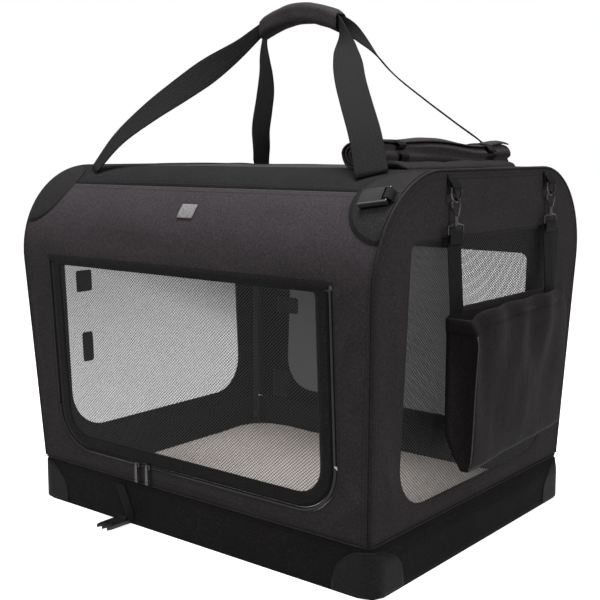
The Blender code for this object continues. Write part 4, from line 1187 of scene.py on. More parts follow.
@dataclass
class EndWalls:
    """End walls, their windows and the piping round them."""

    half: float = 0.237
    low: float = 0.112
    top: float = 0.514
    corner: float = 0.075
    top_corner: float = 0.012
    per_side: int = 56
    sheet: Flat = (0.65, 0.54)
    piping_radius: float = 0.0025
    piping_inset: float = 0.0015
    piping_foot: float = 0.0808
    eye_drop: float = 0.02
    creases: tuple[Crease, ...] = (
        Crease((-0.28, 0.50), (-0.255, 0.30), 0.010, 0.0028),
        Crease((-0.29, 0.25), (-0.25, 0.12), 0.010, 0.0030),
        Crease((0.27, 0.46), (0.28, 0.22), 0.010, 0.0028),
        Crease((-0.20, 0.555), (0.15, 0.545), 0.016, -0.0016),
        Crease((-0.10, 0.095), (0.20, 0.100), 0.009, 0.0020))

    def matched(self, window: np.ndarray) -> np.ndarray:
        """Points of the wall's edge, one for each point of its window, seen from near the window's middle.

        Args:
            window: Outline of the window.

        Returns:
            As many points of the edge.
        """
        right = [SHELL.outline(distance, -SHELL.end_margin)
                 for distance in spread(SHELL.distance(SHELL.wall_foot), SHELL.crown, 400)]
        left = [(-y, z) for y, z in right]
        edge = np.array([left[0], *right, *left[::-1]])
        middle = (0.0, (self.low + self.top) / 2 - self.eye_drop)
        angles, wanted = (np.unwrap(np.arctan2(line[:, 1] - middle[1], line[:, 0] - middle[0]))
                          for line in (edge, window))
        turned = angles[0] + np.mod(wanted - angles[0], TURN)
        return np.stack([np.interp(turned, angles, edge[:, axis]) for axis in (0, 1)], axis=1)

    def build_end(self, name: str, side: Side) -> None:
        """Builds one end wall with its window and piping.

        Args:
            name: Left or right, as its pieces are named.
            side: The end.
        """
        window = rounded(-self.half, self.half, self.low, self.top, self.corner, self.top_corner,
                         self.per_side)
        wall = Surface(partial(SHELL.on_end, side), (side.value, 0, 0))
        cut = Cut(self.matched(window), window, 16, wall_folds(2.2 + side.value, self.creases))
        wall.sew(name + "_wall", cut, Paint.UPPER, Slot.SHELL, [name + "_end_panel"], lining=Paint.SHADED_LINING,
                 sheet=self.sheet)
        paint = Paint.MESH if side is Side.HIGH else Paint.LEFT_MESH
        wall.sew(name + "_mesh", mesh_cut(inset(window, MESH_GROWTH), inset(window, 0.02), 4.0), paint,
                 Slot.MESH, [name + "_window"], 0.0, sheet=(2 * self.half, self.top - self.low))
        leg, shoulder = SHELL.leg[0], SHELL.shoulder_end
        distances = [*spread(SHELL.distance(self.piping_foot), leg, 14), *spread(leg, shoulder, 22)[1:],
                     *spread(shoulder, SHELL.crown, 7)[1:]]
        half = [SHELL.outline(distance, -self.piping_inset) for distance in distances]
        points = [(-y, z) for y, z in half] + half[-2::-1]
        path = [SHELL.on_end(side, y, z, -self.piping_inset) for y, z in points]
        put(name + "_cord", tube_mesh(path, self.piping_radius), Paint.PIPING, "base", Slot.DARK,
            [name + "_piping"], FOLD_ANCHOR)

    def build(self) -> None:
        """Builds both ends."""
        self.build_end("left", Side.LOW)
        self.build_end("right", Side.HIGH)


@dataclass
class Roof:
    """Top panel with its mesh window, and the rolled cover tied on it."""

    left: float = -0.300
    right: float = 0.222
    half: float = 0.145
    corner: float = 0.030
    sheet_width: float = 0.79
    foot_z: float = 0.608973
    roll_ends: tuple[Flat, Flat] = ((0.262, -0.192), (0.301, 0.177))
    roll_sink: float = 0.0012
    roll_rest: float = 0.0014
    half_height: float = 0.0234
    half_width: float = 0.0330
    dip: float = 0.0046
    dip_share: float = 0.72
    turns: int = 4
    cloth_share: float = 0.09
    flap_edge: float = 0.356
    flap_rise: float = 0.0095
    flap_thickness: float = 0.0004
    tie_shares: Flat = (0.195, 0.827)
    tie_width: float = 0.020
    tie_thickness: float = 0.0011
    creases: tuple[Crease, ...] = (
        Crease((0.24, -0.20), (0.36, 0.18), 0.02, 0.002), Crease((-0.36, -0.2), (-0.30, 0.2), 0.03, 0.0025),
        Crease((-0.36, 0.215), (-0.27, 0.215), 0.035, 0.005))

    def build_panel(self) -> None:
        """Builds the top panel and its mesh."""
        reach = SHELL.crown - SHELL.seam - GAP
        square = rounded(-1.0, 1.0, -reach, reach, SHARP, SHARP, 50)
        outer = SHELL.to_end_seams(square, SHELL.crown - abs(square[:, 1]))
        window = rounded(self.left, self.right, -self.half, self.half, self.corner, self.corner, 50)
        top = Surface(SHELL.on_crown, (0, 0, 1), "top", self.foot_z)
        cut = Cut(outer, window, 16, Folds(0.0016, 5.0, 6.0, self.creases))
        top.sew("roof", cut, Paint.ROOF, Slot.SHELL, ["top_panel"], lining=Paint.SHADED_LINING,
                sheet=(self.sheet_width, 2 * reach))
        top.sew("roof_mesh", mesh_cut(inset(window, MESH_GROWTH), inset(window, 0.02), 2.0, 12),
                Paint.REAR_MESH, Slot.MESH, ["top_window"], 0.0,
                sheet=(self.right - self.left, 2 * self.half))

    def roll_section(self, share: float) -> tuple[Vector, float, float, float]:
        """Section of the roll at a share of its length.

        Args:
            share: Share of the length, from the front end.

        Returns:
            Its middle, half width, half height and the height that it rests at.
        """
        (x0, y0), (x1, y1) = self.roll_ends
        y = y0 + (y1 - y0) * share
        rest = SHELL.on_crown(0.0, y, 0.0).z + self.roll_rest
        dip = self.dip * bell(share, self.dip_share, 0.17) + 0.0010 * math.sin(share * 9.0)
        pinch = 1 - 0.03 * sum(bell(share, place, 0.045) for place in self.tie_shares)
        end = ease(min(share, 1 - share) / 0.05)
        tall = (self.half_height - dip) * (0.93 + 0.07 * end) * pinch
        wide = (self.half_width + 0.5 * dip) * (0.95 + 0.05 * end) * pinch
        return Vector((x0 + (x1 - x0) * share, y, rest + tall - self.roll_sink)), wide, tall, rest

    def roll_point(self, share: float, turn: float, grow: float) -> Vector:
        """Point of the roll's surface, settled on the top.

        Args:
            share: Share of the roll's length.
            turn: Angle round it.
            grow: Share of the way out from its middle.

        Returns:
            The point.
        """
        middle, wide, tall, rest = self.roll_section(share)
        side, up = math.cos(turn), math.sin(turn)
        wobble = 1 + 0.07 * soft(side * 1.4, up * 1.4, share * 5)
        wobble += 0.03 * math.sin(3 * turn + share * 4)
        tuck = 0.30 * bell(up, 0.45 - 0.9 * share, 0.22) * max(side, 0.0)
        x = wide * wobble * math.copysign(abs(side) ** (0.86 if up > 0 else 0.5), side) * (1 - tuck)
        z = tall * wobble * math.copysign(abs(up) ** 0.90, up)
        point = middle + Vector((x, 0, z)) * grow
        return Vector((point.x, point.y, max(point.z, rest + 0.0022 * (1 - grow))))

    def build_roll(self) -> None:
        """Builds the rolled cover as a settled spiral of cloth, and its ties."""
        per_turn = 24
        count = per_turn * self.turns
        rings, flat = [], []
        for share in spread(0, 1, 44):
            rings.append([])
            for layer, steps in enumerate((range(count + 1), range(count, -1, -1))):
                for step in steps:
                    grow = max(0.05, 1 - 0.84 * step / count - layer * self.cloth_share)
                    rings[-1].append(self.roll_point(share, TURN * step / per_turn + 0.9, grow))
                    flat.append((step * 0.006, share * 0.37))
        put("roof_roll", loft(rings, flat), Paint.PLAIN, "top", Slot.SHELL, ["top_roll"], self.foot_z)
        for name, share in zip(("tie_front", "tie_rear"), self.tie_shares):
            path = [self.roll_point(share, turn, 1.035) for turn in spread(0.3, TURN + 0.1, 40)]
            mesh = webbing_mesh(path, Vector((0, 1, 0)), self.tie_width, self.tie_thickness)
            put(name, mesh, Paint.WEBBING, "top", Slot.WEBBING, ["roll_" + name], self.foot_z)

    def build_flap(self) -> None:
        """Builds the slack hem of the cover, between the roll and the end wall, in the darker pouch cloth as
        painted shade under the roll.
        """
        rings = []
        for share in spread(0.04, 0.96, 36):
            middle, _, _, rest = self.roll_section(share)
            near, far = middle.x + 0.004, self.flap_edge - 0.016 * abs(2 * share - 1) ** 3
            upper, lower = [], []
            for x, step in zip(spread(near, far, 14), spread(0, 1, 14)):
                rise = self.flap_rise * math.sin(math.pi * step) ** 0.6
                rise *= 1 + 0.5 * soft(x * 22, middle.y * 14, 5.0)
                lower.append(Vector((x, middle.y, rest - self.roll_sink)))
                upper.append(lower[-1] + Vector((0, 0, rise + self.flap_thickness)))
            rings.append(upper + lower[::-1])
        mesh = loft(rings, [(point.x, point.y) for ring in rings for point in ring])
        # Painted shade: the hem takes the darker pouch cloth for the shadow under the roll; the cover itself
        # is the roll's plain cloth.
        put("roll_flap", mesh, Paint.POUCH, "top", Slot.SHELL, (), self.foot_z)

    def build(self) -> None:
        """Builds the roof."""
        self.build_panel()
        self.build_roll()
        self.build_flap()


@dataclass
class Base:
    """Base band, bottom cloth and the guards at the bottom corners."""

    length: float = 0.762
    depth: float = 0.616
    corner: float = 0.026
    top_corner: float = 0.009
    height: float = 0.0797
    low: float = 0.0023
    slope_from: float = 0.050
    slope_height: float = 0.030
    wave: float = 0.0013
    cord_radius: float = 0.0016
    cord_drop: float = 0.0012
    cord_lift: float = 0.0006
    floor_z: float = 0.0002
    floor_thickness: float = 0.0016
    guard_half: float = 0.072
    guard_foot: float = 0.0125
    guard_rise: float = 0.060
    guard_lift: float = 0.0011
    guard_thickness: float = 0.0009

    def form(self, z: float, lift: float) -> tuple[float, float, float]:
        """Size of the band at a height.

        Args:
            z: The height.
            lift: How far outside the band.

        Returns:
            Half length, half depth and corner radius.
        """
        share = ease((z - self.slope_from) / self.slope_height)
        low = (self.length / 2, self.depth / 2, self.corner)
        high = (SHELL.half_length(self.height), SHELL.outline(self.height)[0], self.top_corner)
        return tuple(a + (b - a) * share + lift for a, b in zip(low, high))

    def ring(self, z: float, lift: float = 0.0, steps: int = 360) -> tuple[list[Vector], np.ndarray]:
        """Points of the band's outline at a height.

        Args:
            z: The height.
            lift: How far outside the band.
            steps: How many points.

        Returns:
            The points, and the run of each along the outline.
        """
        half_x, half_y, radius = self.form(z, lift)
        loop = rounded(-half_x, half_x, -half_y, half_y, radius, radius, steps // 4)
        return [Vector((x, y, z)) for x, y in loop], runs(loop)

    def build_band(self) -> None:
        """Builds the base band, with a corded top seam."""
        levels = [*spread(self.low, self.slope_from, 8), *spread(0.054, self.height, 8)]
        points, flat, seam, run = [], [], [], []
        for z in levels:
            share = math.sin(math.pi * min(1.0, (z - self.low) / (self.height - self.low)))
            for point, along in zip(*self.ring(z)):
                wave = soft(point.x * 9, point.y * 9, z * 22)
                wave += 0.5 * soft(point.x * 24, point.y * 24, z * 30 + 4)
                out = Vector((point.x, point.y, 0)).normalized()
                points.append(point + out * self.wave * wave * share)
                flat.append((along, z))
                seam.append(self.height - z)
                run.append(along)
        faces = grid_faces(len(levels), len(points) // len(levels))
        mesh = make_mesh(points, faces, flat, seam=seam, run=run)
        first = mesh.polygons[0]
        if first.normal.dot(Vector((first.center.x, first.center.y, 0))) < 0:
            mesh.flip_normals()
        piece = put("base_band", mesh, Paint.DARK, "base", Slot.DARK, ["base_skirt"], None, PLY)
        path, _ = self.ring(self.height - self.cord_drop, self.cord_lift, 240)
        mesh = tube_mesh(path, self.cord_radius, 8, closed=True)
        put("band_cord", mesh, Paint.PIPING, "base", Slot.DARK)

    def on_floor(self, x: float, y: float, lift: float) -> Vector:
        """Point of the bottom cloth."""
        return Vector((x, y, self.floor_z + lift))

    def build_floor(self) -> None:
        """Builds the bottom cloth."""
        half_x, half_y = self.length / 2, self.depth / 2
        outer = rounded(-half_x, half_x, -half_y, half_y, self.corner, self.corner, 30)
        Surface(self.on_floor, (0, 0, -1), fold_at=None).sew(
            "bottom_cloth", Cut(outer, outer * 0.02, 6, filled=True), Paint.DARK, Slot.DARK, ["base_cloth"],
            self.floor_thickness, sheet=(self.length, self.depth), rests_on=["floor_board"])

    def corner_point(self, along: float, z: float, lift: float) -> Vector:
        """Point of the +X +Y corner of the band.

        Args:
            along: Run from the corner's middle.
            z: Height.
            lift: How far outside the band.

        Returns:
            The point.
        """
        half_x, half_y, radius = self.form(z, lift)
        quarter = radius * math.pi / 4
        if abs(along) <= quarter:
            turn = math.pi / 4 + along / radius
            return Vector((half_x - radius * (1 - math.cos(turn)), half_y - radius * (1 - math.sin(turn)), z))
        if along > 0:
            return Vector((half_x - radius - (along - quarter), half_y, z))
        return Vector((half_x, half_y - radius - (-along - quarter), z))

    def build_guards(self) -> None:
        """Builds the half-round guards sewn over the bottom corners."""
        rows, columns = 12, 26
        for index, (sx, sy) in enumerate(((1, -1), (-1, -1), (1, 1), (-1, 1))):
            points, flat, seam, run = [], [], [], []
            for row in spread(0, 1, rows):
                for share in spread(-1, 1, columns):
                    along = share * self.guard_half
                    top = self.guard_foot + self.guard_rise * math.sqrt(max(0.0, 1 - share**2))
                    z = self.low + (top - self.low) * row
                    point = self.corner_point(along, z, self.guard_lift)
                    points.append(Vector((sx * point.x, sy * point.y, point.z)))
                    flat.append((along, z))
                    seam.append(top - z)
                    run.append(along)
            mesh = make_mesh(points, grid_faces(rows, columns, around=False), flat, seam=seam, run=run)
            face_out(mesh, (sx, sy, 0))
            put(f"corner_guard_{index}", mesh, Paint.PATCH, "base", Slot.DARK,
                thickness=self.guard_thickness)

    def build(self) -> None:
        """Builds the base."""
        self.build_band()
        self.build_floor()
        self.build_guards()


@dataclass
class Mat:
    """Fleece mat on the floor board: a crowned cushion whose cover is puffed by simulation."""

    half_x: float = 0.3605
    half_y: float = 0.2880
    low: float = 0.0070
    thickness: float = 0.0250
    corner: float = 0.080
    voxel: float = 0.0085
    cap: float = 0.0055
    side_slack: float = 0.0015
    frames: int = 14
    pressure: float = 4.0
    foot_height: float = 0.006
    fill_share: float = 0.7

    def cushion(self) -> bpy.types.Mesh:
        """The cover before it is puffed."""
        rings = []
        for rise_share, draw in ((0.0, 0.010), (0.12, 0.002), (0.35, 0.0), (0.62, 0.001), (0.82, 0.008),
                                 (0.95, 0.020), (1.0, 0.036)):
            loop = rounded(-self.half_x + draw, self.half_x - draw, -self.half_y + draw, self.half_y - draw,
                           self.corner - draw, self.corner - draw, 24)
            rings.append([Vector((x, y, self.low + self.thickness * rise_share)) for x, y in loop])
        return loft(rings)

    def puff(self, cover: bpy.types.Mesh) -> bpy.types.Mesh:
        """Puffs the cover with cloth under pressure, and keeps it within its cap.

        Args:
            cover: The cover.

        Returns:
            The puffed cover.
        """
        form = link("mat_form", cover)
        remesh = form.modifiers.new("remesh", "REMESH")
        remesh.mode = "VOXEL"
        remesh.voxel_size = self.voxel
        form.data = evaluated_mesh(form)
        form.modifiers.clear()
        rest = np.array([vertex.co for vertex in form.data.vertices])
        settings = form.modifiers.new("cloth", "CLOTH").settings
        settings.use_pressure = True
        settings.uniform_pressure_force = self.pressure
        settings.effector_weights.gravity = 0.0
        settings.quality = 4
        scene = bpy.context.scene
        for frame in range(1, self.frames + 1):
            scene.frame_set(frame)
        mesh = evaluated_mesh(form)
        scene.frame_set(1)
        bpy.data.objects.remove(form)
        step = np.array([vertex.co for vertex in mesh.vertices]) - rest
        step *= np.minimum(1.0, self.cap / np.maximum(np.linalg.norm(step, axis=1, keepdims=True), 1e-9))
        at_foot = rest[:, 2] < self.low + self.foot_height
        step[:, 2] = np.where(at_foot, np.maximum(step[:, 2], 0.0), step[:, 2])
        held = rest + step
        limits = np.array((self.half_x + self.side_slack, self.half_y + self.side_slack, 1.0))
        held = np.clip(held, (-limits[0], -limits[1], self.low), limits)
        mesh.vertices.foreach_set("co", held.astype(np.float32).ravel())
        mesh.update()
        mesh.shade_smooth()
        return mesh

    def build(self) -> None:
        """Builds the mat."""
        mesh = self.puff(self.cushion())
        piece = put("mat", mesh, Paint.FLEECE, "base", Slot.FLEECE, ["floor_mat"])


@dataclass
class Handle:
    """A webbing handle, flat at its feet and gathered on edge at the grip.

    Its shares are places along one leg, from foot to grip: along the span, inward and up. Its lays are, for
    each leg, shares of the span with the direction across the webbing there.
    """

    name: str
    node: str
    side: Side
    half_span: float
    shares: tuple[tuple[float, float, float], ...]
    lays: tuple[tuple[tuple[float, ...], ...], ...]
    foot: float = 0.222
    width: float = 0.050
    thickness: float = 0.0025
    seat: float = 0.0018
    rise: float = 0.268
    grip_side: float = 0.0050
    gather_share: float = 0.44
    open_from_share: float = 0.28
    open_over_share: float = 0.27

    def path(self) -> list[Vector]:
        """Middle line of the handle."""
        depth, z = SHELL.centre
        base = z + SHELL.radius * math.sin(math.acos((self.foot - depth) / SHELL.radius)) + self.seat
        lift = SHELL.height + self.rise - base
        half = [Vector((across * self.half_span,
                        self.side.value * (self.grip_side + (self.foot - self.grip_side) * inward),
                        base + lift * up)) for across, inward, up in self.shares]
        return smooth_path([Vector((-p.x, p.y, p.z)) for p in half] + half[-2::-1], 8)

    def lay(self, table: Sequence[Sequence[float]], share: float) -> Vector:
        """Direction across a leg's webbing at a share of the half span."""
        marks, *axes = zip(*table)
        return Vector([float(np.interp(share, marks, axis)) for axis in axes]).normalized()

    def build(self) -> None:
        """Builds the handle."""
        path = self.path()
        across, widths = [], []
        for point in path:
            share = min(1.0, abs(point.x) / self.half_span)
            across.append(self.lay(self.lays[0 if point.x < 0 else 1], share))
            open_share = ease((share - self.open_from_share) / self.open_over_share)
            widths.append(self.width * (self.gather_share + (1 - self.gather_share) * open_share))
        mesh = webbing_mesh(path, across, widths, self.thickness)
        put(self.name, mesh, Paint.WEBBING, self.node, Slot.WEBBING, [self.node])


@dataclass
class Grip:
    """Padded sleeve closed round both handles."""

    handle: Handle
    half_length: float = 0.088
    half_width: float = 0.0140
    half_height: float = 0.0142
    padding: float = 0.0038
    corner: float = 0.007
    end_length: float = 0.012
    unevenness: float = 0.0007
    fill_share: float = 0.5

    def build(self) -> None:
        """Builds the sleeve: its padded outer face, and its inner face on the way back."""
        stations = [point for point in self.handle.path() if abs(point.x) <= self.half_length]
        rings, flat = [], []
        for outer, points in ((1, stations), (0, stations[::-1])):
            for point in points:
                end = ease((self.half_length - abs(point.x)) / self.end_length)
                swell = self.padding * (0.55 + 0.45 * end) * outer
                half_y, half_z = self.half_width + swell, self.half_height + swell
                loop = rounded(-half_y, half_y, -half_z, half_z, self.corner + swell, self.corner + swell, 10)
                rings.append([])
                for y, z in loop:
                    uneven = self.unevenness * soft(point.x * 45, y * 60, z * 60) * outer
                    scale = 1 + uneven / 0.015
                    rings[-1].append(Vector((point.x, y * scale, point.z + z * scale)))
                    flat.append((point.x, math.atan2(z, y) * 0.02))
        mesh = loft(rings, flat, closed=True)
        piece = put("grip", mesh, Paint.PLAIN, "front_handle", Slot.SHELL, ["grip_wrap"])


@dataclass
class Carrying:
    """Both handles and their grip."""

    front: Handle = field(default_factory=lambda: Handle(
        "handle_front", "front_handle", Side.LOW, 0.310,
        ((1.0, 1.0, 0.0), (0.89, 0.858, 0.204), (0.752, 0.686, 0.375), (0.614, 0.497, 0.526),
         (0.494, 0.306, 0.666), (0.384, 0.139, 0.793), (0.28, 0.012, 0.918), (0.13, 0.0, 0.982),
         (0.0, 0.0, 1.0)),
        (((0.31, 0.0, 0.0, -1.0), (0.45, 0.59, 0.34, -0.73), (1.0, 0.85, -0.50, -0.185)),
         ((0.31, 0.0, 0.0, -1.0), (0.45, -0.75, -0.64, -0.17), (1.0, -0.75, -0.64, -0.237)))))
    rear: Handle = field(default_factory=lambda: Handle(
        "handle_rear", "rear_handle", Side.HIGH, 0.290,
        ((1.0, 1.0, 0.0), (0.92, 0.875, 0.158), (0.789, 0.678, 0.304), (0.645, 0.50, 0.453),
         (0.505, 0.319, 0.612), (0.405, 0.145, 0.790), (0.30, 0.012, 0.918), (0.14, 0.0, 0.982),
         (0.0, 0.0, 1.0)),
        (((0.31, 0.0, 0.0, -1.0), (0.45, 0.77, -0.03, -0.64), (1.0, 0.90, -0.25, 0.093)),
         ((0.31, 0.0, 0.0, -1.0), (0.45, 0.63, -0.76, -0.16), (0.90, 0.62, -0.77, -0.15),
          (1.0, 0.72, -0.69, 0.256)))))

    def build(self) -> None:
        """Builds the handles and the grip."""
        self.front.build()
        self.rear.build()
        Grip(self.front).build()


@dataclass
class Zip:
    """Zip round three sides of the door: tape and teeth. Its sliders are carried from the frame."""

    door: DoorOpening = field(default_factory=DoorOpening)
    pitch: float = 0.0022
    tooth: tuple[float, float, float] = (0.0014, 0.0036, 0.0011)
    lift: float = 0.0010
    tape_thickness: float = 0.0014
    tape_crown: float = 0.0004
    plain_edge: float = 0.02
    bottom_fold: float = 0.11155

    def build_run(self, run_name: str, body: str, ends: Flat, keep: range, fold_at: float) -> None:
        """Builds one run of the tape with its teeth.

        Args:
            run_name: Left, right or bottom, as its pieces are named.
            body: The body that it rides on.
            ends: Lowest and highest distance along the wall of the run.
            keep: Points of the door's outline that the run is chosen from.
            fold_at: Height passed on to put, which gives the piece its own copy of its mesh.
        """
        outer, inner = self.door.outline(GAP), self.door.outline(self.door.zip_width)
        start = 3 * len(outer) // 4
        along = np.roll(runs(np.roll(outer, -start, axis=0)), start)
        order = sorted((i for i in keep if ends[0] - 1e-6 <= outer[i][1] <= ends[1] + 1e-6),
                       key=lambda i: along[i])
        place = partial(SHELL.on_long, Side.LOW)
        rows = 5
        points, flat = [], []
        for share in spread(0, 1, rows):
            for u, v in outer[order] + (inner[order] - outer[order]) * share:
                points.append(place(u, v, self.tape_crown * math.sin(math.pi * share)))
                flat.append((u, v))
        edges = [self.plain_edge] * len(points)
        faces = grid_faces(rows, len(order), around=False)
        mesh = make_mesh(points, faces, flat, seam=edges, hem=edges, run=list(along[order]) * rows)
        face_out(mesh, (0, -1, 0))
        put("zip_tape_" + run_name, mesh, Paint.BORDER, body, Slot.DARK, [f"zip_{run_name}_run"], fold_at,
            self.tape_thickness)
        path = [place(u, v, self.lift) for u, v in (outer[order] + inner[order]) / 2]
        mesh = repeat_along(path, self.pitch, self.tooth, Paint.PLASTIC)
        put("zip_teeth_" + run_name, mesh, Paint.PLASTIC, body, Slot.PLASTIC, (), fold_at)

    def build(self) -> None:
        """Builds the zip."""
        bend = SHELL.distance(self.door.low + self.door.corner)
        top, side = SHELL.distance(self.door.top), self.door.per_side
        self.build_run("left", "base", (bend, top), range(3 * side, 4 * side), FOLD_ANCHOR)
        self.build_run("right", "base", (bend, top), range(side, 2 * side), FOLD_ANCHOR)
        self.build_run("bottom", "zip_bottom", (0.0, bend), range(4 * side), self.bottom_fold)


def repeat_along(path: Sequence[Vector], pitch: float, size: tuple[float, float, float], paint: Paint
                 ) -> bpy.types.Mesh:
    """Small blocks set along a path by geometry nodes, such as zip teeth.

    Args:
        path: Points of the path.
        pitch: Distance from block to block.
        size: Length along the path, width and height of a block.
        paint: The blocks' finish.

    Returns:
        The blocks as one plain mesh.
    """
    curve = bpy.data.curves.new("path", "CURVE")
    curve.dimensions = "3D"
    spline = curve.splines.new("POLY")
    spline.points.add(len(path) - 1)
    for point, target in zip(spline.points, path):
        point.co = (*target, 1.0)
    guide = link("guide", curve)
    modifier = guide.modifiers.new("repeat", "NODES")
    modifier.node_group = repeat_tree()
    wanted = dict(zip(("Pitch", "Length", "Width", "Height", "Material"), (pitch, *size, paint.material)))
    for item in modifier.node_group.interface.items_tree:
        if item.item_type == "SOCKET" and item.in_out == "INPUT" and item.name in wanted:
            modifier[item.identifier] = wanted[item.name]
    mesh = evaluated_mesh(guide)
    bpy.data.objects.remove(guide)
    return mesh


def repeat_tree() -> bpy.types.NodeTree:
    """Geometry node tree that sets blocks along a curve, built once."""
    found = bpy.data.node_groups.get("Blocks along a path")
    if found:
        return found
    tree = bpy.data.node_groups.new("Blocks along a path", "GeometryNodeTree")
    for label, kind in (("Geometry", "Geometry"), ("Pitch", "Float"), ("Length", "Float"), ("Width", "Float"),
                        ("Height", "Float"), ("Material", "Material")):
        tree.interface.new_socket(label, in_out="INPUT", socket_type="NodeSocket" + kind)
    tree.interface.new_socket("Geometry", in_out="OUTPUT", socket_type="NodeSocketGeometry")
    graph = Graph(tree)
    given, result = graph.add("NodeGroupInput").outputs, graph.add("NodeGroupOutput")
    spots = graph.add("GeometryNodeCurveToPoints", mode="LENGTH", Curve=given["Geometry"],
                      Length=given["Pitch"]).outputs
    size = graph.add("ShaderNodeCombineXYZ", X=given["Width"], Y=given["Height"], Z=given["Length"])
    block = graph.add("GeometryNodeMeshCube", Size=size)
    placed = graph.add("GeometryNodeInstanceOnPoints", Points=spots["Points"], Instance=block,
                       Rotation=spots["Rotation"])
    real = graph.add("GeometryNodeRealizeInstances", Geometry=placed)
    painted = graph.add("GeometryNodeSetMaterial", Geometry=real, Material=given["Material"])
    graph.fill(result, Geometry=painted)
    return tree


@dataclass
class Patches:
    """Half-round patches over the top corners, inner tabs and the plain label."""

    lift: float = 0.0009
    centre: float = 0.600
    width: float = 0.075
    height: float = 0.080
    thickness: float = 0.0008
    label_turn: float = math.radians(30)
    label_left: float = -0.012
    label_right: float = 0.022
    label_height: float = 0.026
    label_lift: float = 0.0012
    label_thickness: float = 0.0007
    tab_lift: float = -0.0036
    tab_thickness: float = 0.0010

    def build_corner(self, name: str, side: Side, end: Side) -> None:
        """Builds one half-round patch at a top corner.

        Args:
            name: The piece's name.
            side: Front or rear.
            end: Left or right.
        """
        rows, columns = 12, 30
        points, flat, seam, run = [], [], [], []
        for reach in spread(0, 1, rows):
            for turn in spread(-math.pi / 2, math.pi / 2, columns):
                v = self.centre + self.height * reach * math.sin(turn)
                edge = SHELL.half_length(SHELL.outline(v)[1]) - SHELL.end_margin
                u = end.value * (edge - self.width * reach * math.cos(turn))
                points.append(SHELL.on_long(side, u, v, self.lift))
                flat.append((u, v))
                seam.append((1 - reach) * self.height)
                run.append(turn * self.height)
        mesh = make_mesh(points, grid_faces(rows, columns, around=False), flat, seam=seam, run=run)
        rework(mesh, lambda bm: bmesh.ops.remove_doubles(bm, verts=bm.verts, dist=0.00005))
        face_out(mesh, (0, side.value, 0.5))
        put(name, mesh, Paint.PATCH, "base", Slot.DARK, (), FOLD_ANCHOR, self.thickness)

    def build_label(self) -> None:
        """Builds the plain label on the front shoulder."""
        low = SHELL.shoulder_distance(self.label_turn)
        outer = rounded(self.label_left, self.label_right, low, low + self.label_height, 0.001, 0.001, 12)
        cut = Cut(outer, inset(outer, 0.05), 6, Folds(0.0003, 20, 0), filled=True, lift=self.label_lift)
        long_side(Side.LOW).sew("label", cut, Paint.LABEL, Slot.LABEL, ["blank_label"],
                                self.label_thickness)

    def build_inner_tabs(self) -> None:
        """Builds the dark hook-and-loop tabs sewn inside the left and rear walls."""
        left = Surface(partial(SHELL.on_end, Side.LOW), (1, 0, 0))
        rear = Surface(partial(SHELL.on_long, Side.HIGH), (0, -1, 0))
        for name, wall, box in (("tab_left_high", left, (-0.213, -0.176, 0.377, 0.418)),
                                ("tab_left_low", left, (-0.206, -0.181, 0.241, 0.298)),
                                ("tab_back_high", rear, (-0.325, -0.264, 0.281, 0.317)),
                                ("tab_back_low", rear, (-0.329, -0.281, 0.087, 0.148))):
            outer = rounded(*box, 0.003, 0.003, 8)
            cut = Cut(outer, inset(outer, 0.05), 4, filled=True, lift=self.tab_lift)
            wall.sew(name, cut, Paint.PATCH, Slot.DARK, thickness=self.tab_thickness)

    def build(self) -> None:
        """Builds all patches."""
        for row, side in (("front", Side.LOW), ("rear", Side.HIGH)):
            for column, end in (("left", Side.LOW), ("right", Side.HIGH)):
                self.build_corner(f"corner_patch_{row}_{column}", side, end)
        self.build_label()
        self.build_inner_tabs()


